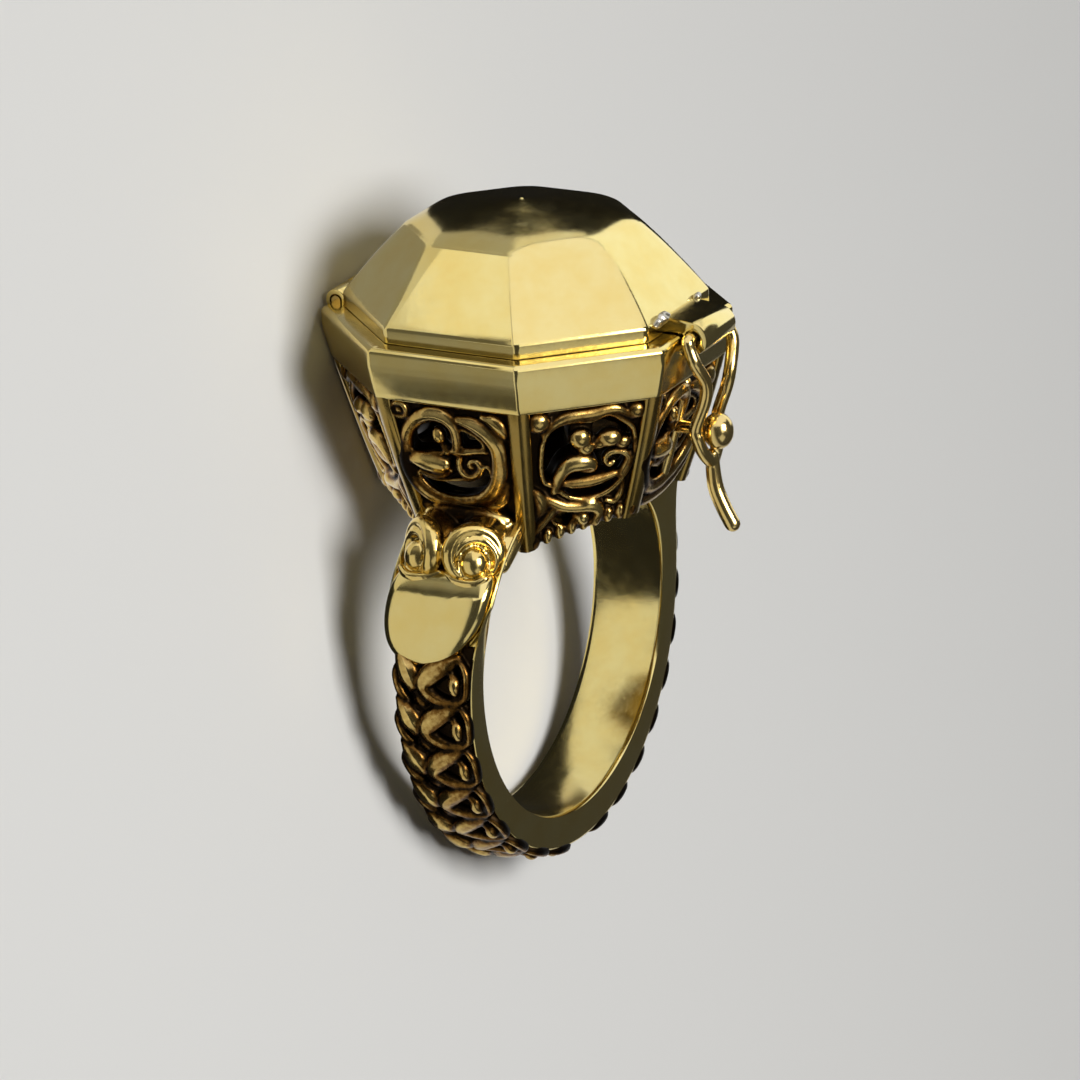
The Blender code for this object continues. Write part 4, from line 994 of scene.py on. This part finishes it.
def brass(name, colour, roughness, relief=False, scratch=1.0, pits=0.5):
    """Metal with fine scratches, small pits and, on reliefs, dark antiquing and painted shade in the grooves.
    """
    finish = plain_material(name, {"Metallic": 1.0})
    tree = finish.node_tree
    shader = tree.nodes["Principled BSDF"]

    def add(kind, sockets, **settings):
        """Node; each socket gets a value or the output it is linked to."""
        node = tree.nodes.new("ShaderNode" + kind)
        for key, value in settings.items():
            setattr(node, key, value)
        for socket, value in sockets.items():
            if isinstance(value, bpy.types.NodeSocket):
                tree.links.new(value, node.inputs[socket])
            else:
                node.inputs[socket].default_value = value
        return node

    place = add("TexCoord", {}).outputs["Object"]
    millimetres = add("Mapping", {"Vector": place, "Scale": (1000, 1000, 1000)}).outputs["Vector"]

    def noise_at(size, detail, rough, stretch=None):
        where = millimetres
        if stretch:
            turned = add("Mapping", {"Vector": where, "Scale": stretch, "Rotation": (0.4, 0.9, 0.3)})
            where = turned.outputs["Vector"]
        sockets = {"Vector": where, "Scale": size, "Detail": detail, "Roughness": rough}
        return add("TexNoise", sockets).outputs["Fac"]

    def ramp(source, low, high, a=0.0, b=1.0):
        sockets = {"Value": source, "From Min": low, "From Max": high, "To Min": a, "To Max": b}
        return add("MapRange", sockets).outputs["Result"]

    def mix(share, a, b):
        return add("Mix", {"Factor": share, 6: a, 7: b}, data_type="RGBA").outputs[2]

    def maths(operation, a, b):
        return add("Math", {0: a, 1: b}, operation=operation).outputs[0]

    warm = tuple(c * k for c, k in zip(colour, (0.97, 0.9, 0.72)))
    tone = mix(ramp(noise_at(0.45, 4, 0.6), 0.35, 0.7), (*colour, 1), (*warm, 1))
    rough = ramp(noise_at(1.4, 5, 0.65), 0.3, 0.75, roughness * 0.75, roughness * 1.35)
    if relief:
        # reliefs darken to brown, then to near black where low or hollow: patina together with painted shade
        patina_and_shade = add("Attribute", {}, attribute_name="patina_and_shade").outputs["Fac"]
        broken = maths("ADD", patina_and_shade, ramp(noise_at(2.6, 6, 0.7), 0.2, 0.8, -0.22, 0.22))
        tone = mix(ramp(broken, 0.22, 0.62), tone, (0.24, 0.115, 0.022, 1))
        tone = mix(ramp(broken, 0.5, 0.88), tone, (0.012, 0.007, 0.003, 1))
        rough = maths("ADD", rough, ramp(broken, 0.4, 1.0, 0.0, 0.22))

    scratches = ramp(noise_at(1.2, 2, 0.5, (26, 1.1, 0.9)), 0.55, 0.75)
    crossed = ramp(noise_at(0.9, 2, 0.5, (1.0, 21, 1.2)), 0.58, 0.78)
    pit = ramp(noise_at(7.0, 2, 0.5), 0.28, 0.36, 1.0, 0.0)
    scored = maths("MULTIPLY", maths("ADD", scratches, crossed), -0.08 * scratch)
    height = maths("ADD", scored, maths("MULTIPLY", pit, -0.3 * pits))
    height = maths("ADD", height, maths("MULTIPLY", noise_at(0.8, 2, 0.5), 1.2))
    bump = add("Bump", {"Strength": 1.0, "Distance": 0.000004, "Height": height})
    for socket, value in (("Base Color", tone), ("Roughness", rough), ("Normal", bump.outputs["Normal"])):
        tree.links.new(value, shader.inputs[socket])
    return finish


polished = brass("polished_gold_brass", (0.80, 0.66, 0.27), 0.13)
# brass of the cast reliefs, darkened in low and hollow places: patina together with painted shade
antique = brass("antiqued_and_shaded_relief", (0.78, 0.60, 0.22), 0.17, relief=True, pits=0.8)
# darker brass for the sunken pierced panels: their patina together with painted shade in the recess
pierced = brass("tarnished_and_shaded_scrollwork", (0.66, 0.49, 0.17), 0.2, relief=True, pits=0.8)
# dark copy of the polished brass for the pillars and the compartment floor under the head: painted shade
shaded = brass("painted_shade_brass", (0.34, 0.24, 0.07), 0.19)
grey_solder = brass("grey_solder", (0.52, 0.50, 0.44), 0.32)
wire_brass = brass("wire_brass", (0.76, 0.58, 0.23), 0.18, scratch=1.6)


def finish_piece(obj, body, material, angle=40, weighted=True, replaces=None):
    """Lay a drawn piece down in its place and hand it over."""
    obj.data.transform(PLACE)
    obj.data.materials.clear()
    obj.data.materials.append(material)
    obj.data.shade_smooth()
    if weighted:
        obj.data.set_sharp_from_angle(angle=radians(angle))
        normals = obj.modifiers.new("flat_faces", "WEIGHTED_NORMAL")
        normals.keep_sharp = True
        settle(obj)
    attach(obj, body)
    if replaces:
        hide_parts(replaces)


def build():
    finish_piece(rim_band(), "ring", polished, replaces="ring_body")
    posts = join("cup_pillars", [pillar(i) for i in range(8)])
    finish_piece(posts, "ring", shaded)
    finish_piece(under_head(), "ring", shaded, angle=30)
    for index in range(8):
        finish_piece(scroll_panel(index), "ring", pierced, weighted=False)
    finish_piece(shank(), "ring", polished)
    finish_piece(leaf_relief(), "ring", antique, weighted=False)
    for name, side in (("saddle_left", 1), ("saddle_right", -1)):
        finish_piece(saddle(name, side), "ring", polished, angle=60)
    for name, side in (("volutes_left", -1), ("volutes_right", 1)):
        finish_piece(volute_pair(name, side), "ring", antique, weighted=False)
    finish_piece(stud(), "ring", wire_brass)
    finish_piece(ring_knuckles(), "ring", polished)
    finish_piece(lid_shell(), "lid", polished, replaces="lid")
    finish_piece(lid_knuckle(), "lid", polished)
    finish_piece(lug(), "lid", polished)
    finish_piece(solder(), "lid", grey_solder, weighted=False)
    finish_piece(clasp(), "clasp", wire_brass, weighted=False, replaces="clasp_loop")
    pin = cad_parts["hinge_pin"]
    pin.data.materials.clear()
    pin.data.materials.append(wire_brass)


build()


# Studio

CAMERA_AZIMUTH, CAMERA_ELEVATION, CAMERA_ROLL, CAMERA_DISTANCE = 61.73, 19.61, -2.42, 462.07
FOCAL_PIXELS, SHIFT_X, SHIFT_Y = 8991, -0.22, 0.44
PIVOT_Z, IMAGE_SIZE, SENSOR = 5, 1080, 36
MIDDLE = Vector((0, 0, 0.012))
LIGHT_SIZE, LIGHT_DISTANCE, LIGHT_POWER = 0.16, 0.34, 1.15
FLOOR_REACH, SHEET_HEIGHT = 1.5, 0.0003
WALL_DISTANCE, WALL_STEPS = 0.4, 8
COOL = (1.0, 1.0, 1.1)

# Line on the floor between what the lid's facets mirror and what its dome mirrors, in millimetres
DOME_EDGE = [(9, 28.5), (28, 50.5), (36, 58), (54, 73.5), (65, 80), (105, 103)]


def camera():
    az, el, roll = radians(CAMERA_AZIMUTH), radians(CAMERA_ELEVATION), radians(CAMERA_ROLL)
    back = Vector((-sin(az) * cos(el), -cos(az) * cos(el), sin(el)))
    level = Vector((0, 0, 1)).cross(back).normalized()
    upright = back.cross(level)
    right = level * cos(roll) + upright * sin(roll)
    up = upright * cos(roll) - level * sin(roll)
    place = Vector((0, 0, PIVOT_Z)) + back * CAMERA_DISTANCE - right * SHIFT_X - up * SHIFT_Y
    data = bpy.data.cameras.new("camera")
    data.sensor_width = SENSOR
    data.lens = SENSOR * FOCAL_PIXELS / IMAGE_SIZE
    data.clip_start, data.clip_end = 0.05, 5
    obj = new_object("camera", data)
    turn = TURN.to_3x3()
    axes = Matrix((turn @ right, turn @ up, turn @ back)).transposed().to_4x4()
    obj.matrix_world = Matrix.Translation(PLACE @ place) @ axes
    bpy.context.scene.camera = obj


def floor():
    r = FLOOR_REACH
    obj = new_piece("floor", [(-r, -r, 0), (r, -r, 0), (r, r, 0), (-r, r, 0)], [(0, 1, 2, 3)])
    values = {"Base Color": (0.72, 0.72, 0.71, 1), "Roughness": 0.9, "Specular IOR Level": 0.15}
    obj.data.materials.append(plain_material("floor", values))


def towards(azimuth, elevation):
    """Direction in the world, turned from the ring's -X side towards its lid."""
    a, e = radians(azimuth), radians(elevation)
    return Vector((-cos(a) * cos(e), sin(a) * cos(e), sin(e)))


def overhead():
    """Soft light above the ring, facing it."""
    data = bpy.data.lights.new("overhead", "AREA")
    data.shape, data.size, data.size_y = "RECTANGLE", LIGHT_SIZE, LIGHT_SIZE
    data.energy, data.color = LIGHT_POWER, (1.0, 0.99, 0.97)
    obj = new_object("overhead", data)
    direction = towards(20, 76).normalized()
    obj.location = MIDDLE + direction * LIGHT_DISTANCE
    obj.rotation_euler = (-direction).to_track_quat("-Z", "Y").to_euler()


def sheet(obj, glow, colour=(1, 1, 1)):
    """Make a studio card of a mesh, one that only reflections see: a glowing card that paints a reflection
    and is no lamp.
    """
    values = {"Base Color": (0, 0, 0, 1), "Roughness": 1.0, "Specular IOR Level": 0.0,
              "Emission Color": (*colour, 1), "Emission Strength": glow}
    obj.data.materials.append(plain_material(obj.name, values))
    obj.visible_camera = obj.visible_diffuse = obj.visible_shadow = obj.visible_transmission = False


def floor_sheet(name, corners, glow):
    """Card lying on the floor; corners in millimetres."""
    points = [(x / 1000, y / 1000, SHEET_HEIGHT) for x, y in corners]
    sheet(new_piece(name, points, [tuple(range(len(corners)))]), glow)


def soft_wall(name, azimuths, elevations, glow, colour=(1, 1, 1)):
    """Curved card round the ring."""
    rows = []
    for i in range(WALL_STEPS + 1):
        e = elevations[0] + (elevations[1] - elevations[0]) * i / WALL_STEPS
        turns = [azimuths[0] + (azimuths[1] - azimuths[0]) * k / WALL_STEPS for k in range(WALL_STEPS + 1)]
        rows.append([MIDDLE + towards(a, e) * WALL_DISTANCE for a in turns])
    sheet(grid(name, rows, close_ring=False), glow, colour)


def side_sheet():
    """Upright grey card beside the band, a painted reflection: strips from dark below, painted shade near the
    floor, to light, then darker for the lid's edge.
    """
    levels = (3.0, 5.0, 6.0, 7.0, 9.0, 11.0, 12.0, 13.5, 18.8)
    glows = (.08, .14, .2, .27, .31, .26, .19, .13)
    for low, high, glow in zip(levels, levels[1:], glows):
        lean = 1.0 if high < 13.5 else 0
        points = [(low + lean, 0.4), (high + lean, 0.4), (high - lean, 11.2), (low - lean, 11.2)]
        places = [(-0.0145, y / 1000, z / 1000) for y, z in points]
        sheet(new_piece("side_sheet", places, [(0, 1, 2, 3)]), glow)


camera()
floor()
overhead()
# glowing cards round the ring, seen only in reflections: painted reflections on the lid, the band and the
# front
soft_wall("lid_wall", (28, 131), (-1, 62), 1.12, COOL)
soft_wall("top_wall", (-36, 27), (50, 66), 1.1)
soft_wall("band_wall", (-78, -36), (18, 48), 0.62)
soft_wall("front_wall", (132, 186), (-1, 37), 1.25, (0.96, 1.0, 1.05))
soft_wall("corner_wall", (131, 146), (37, 56), 1.1, COOL)
# cards on the floor seen only in reflections: painted reflections, bright where the lid's facets mirror the
# floor and dark where its dome does
floor_sheet("facet_sheet", [(-50, 29), (-30, 29), (-5, 52), (-9, 200), (-60, 390), (-200, 390)], 1.06)
floor_sheet("crease_sheet", DOME_EDGE[:3] + [(60, 160), (-8, 160), (-4, 53), (-3, 30)], 0.42)
floor_sheet("corner_sheet", DOME_EDGE[2:] + [(250, 240), (60, 390), (-50, 390), (-8, 161), (60, 161)], 0.85)
floor_sheet("dome_sheet", DOME_EDGE[:1] + [(8, 10), (60, 2), (600, 50), (600, 500), (250, 240)]
            + DOME_EDGE[:0:-1], 0.01)
floor_sheet("shadow_sheet", [(-10, 15.5), (3, 15.5), (3, 23.5), (-10, 23.5)], 0.3)
# painted shadow: dark card on the floor by the ring's side and under its head, seen only in reflections
floor_sheet("ring_shadow_card", [(-14, -14), (8, -14), (8, -5.6), (-8, -5.6), (-8, 4), (-14, 4)], 0.02)
# painted light: bright card on the floor inside the finger hole, where the ring's own shadow falls, seen only
# in reflections
floor_sheet("inner_sheet", [(-8, -5.5), (14, -5.5), (14, 12), (-4, 12), (-4, 8), (-8, 8)], 0.85)
side_sheet()
world = bpy.data.worlds.new("studio")
bpy.context.scene.world = world
world.use_nodes = True
world.node_tree.nodes["Background"].inputs["Color"].default_value = (0.5, 0.5, 0.5, 1)
world.node_tree.nodes["Background"].inputs["Strength"].default_value = 0.12
bpy.context.scene.view_settings.view_transform = "Standard"
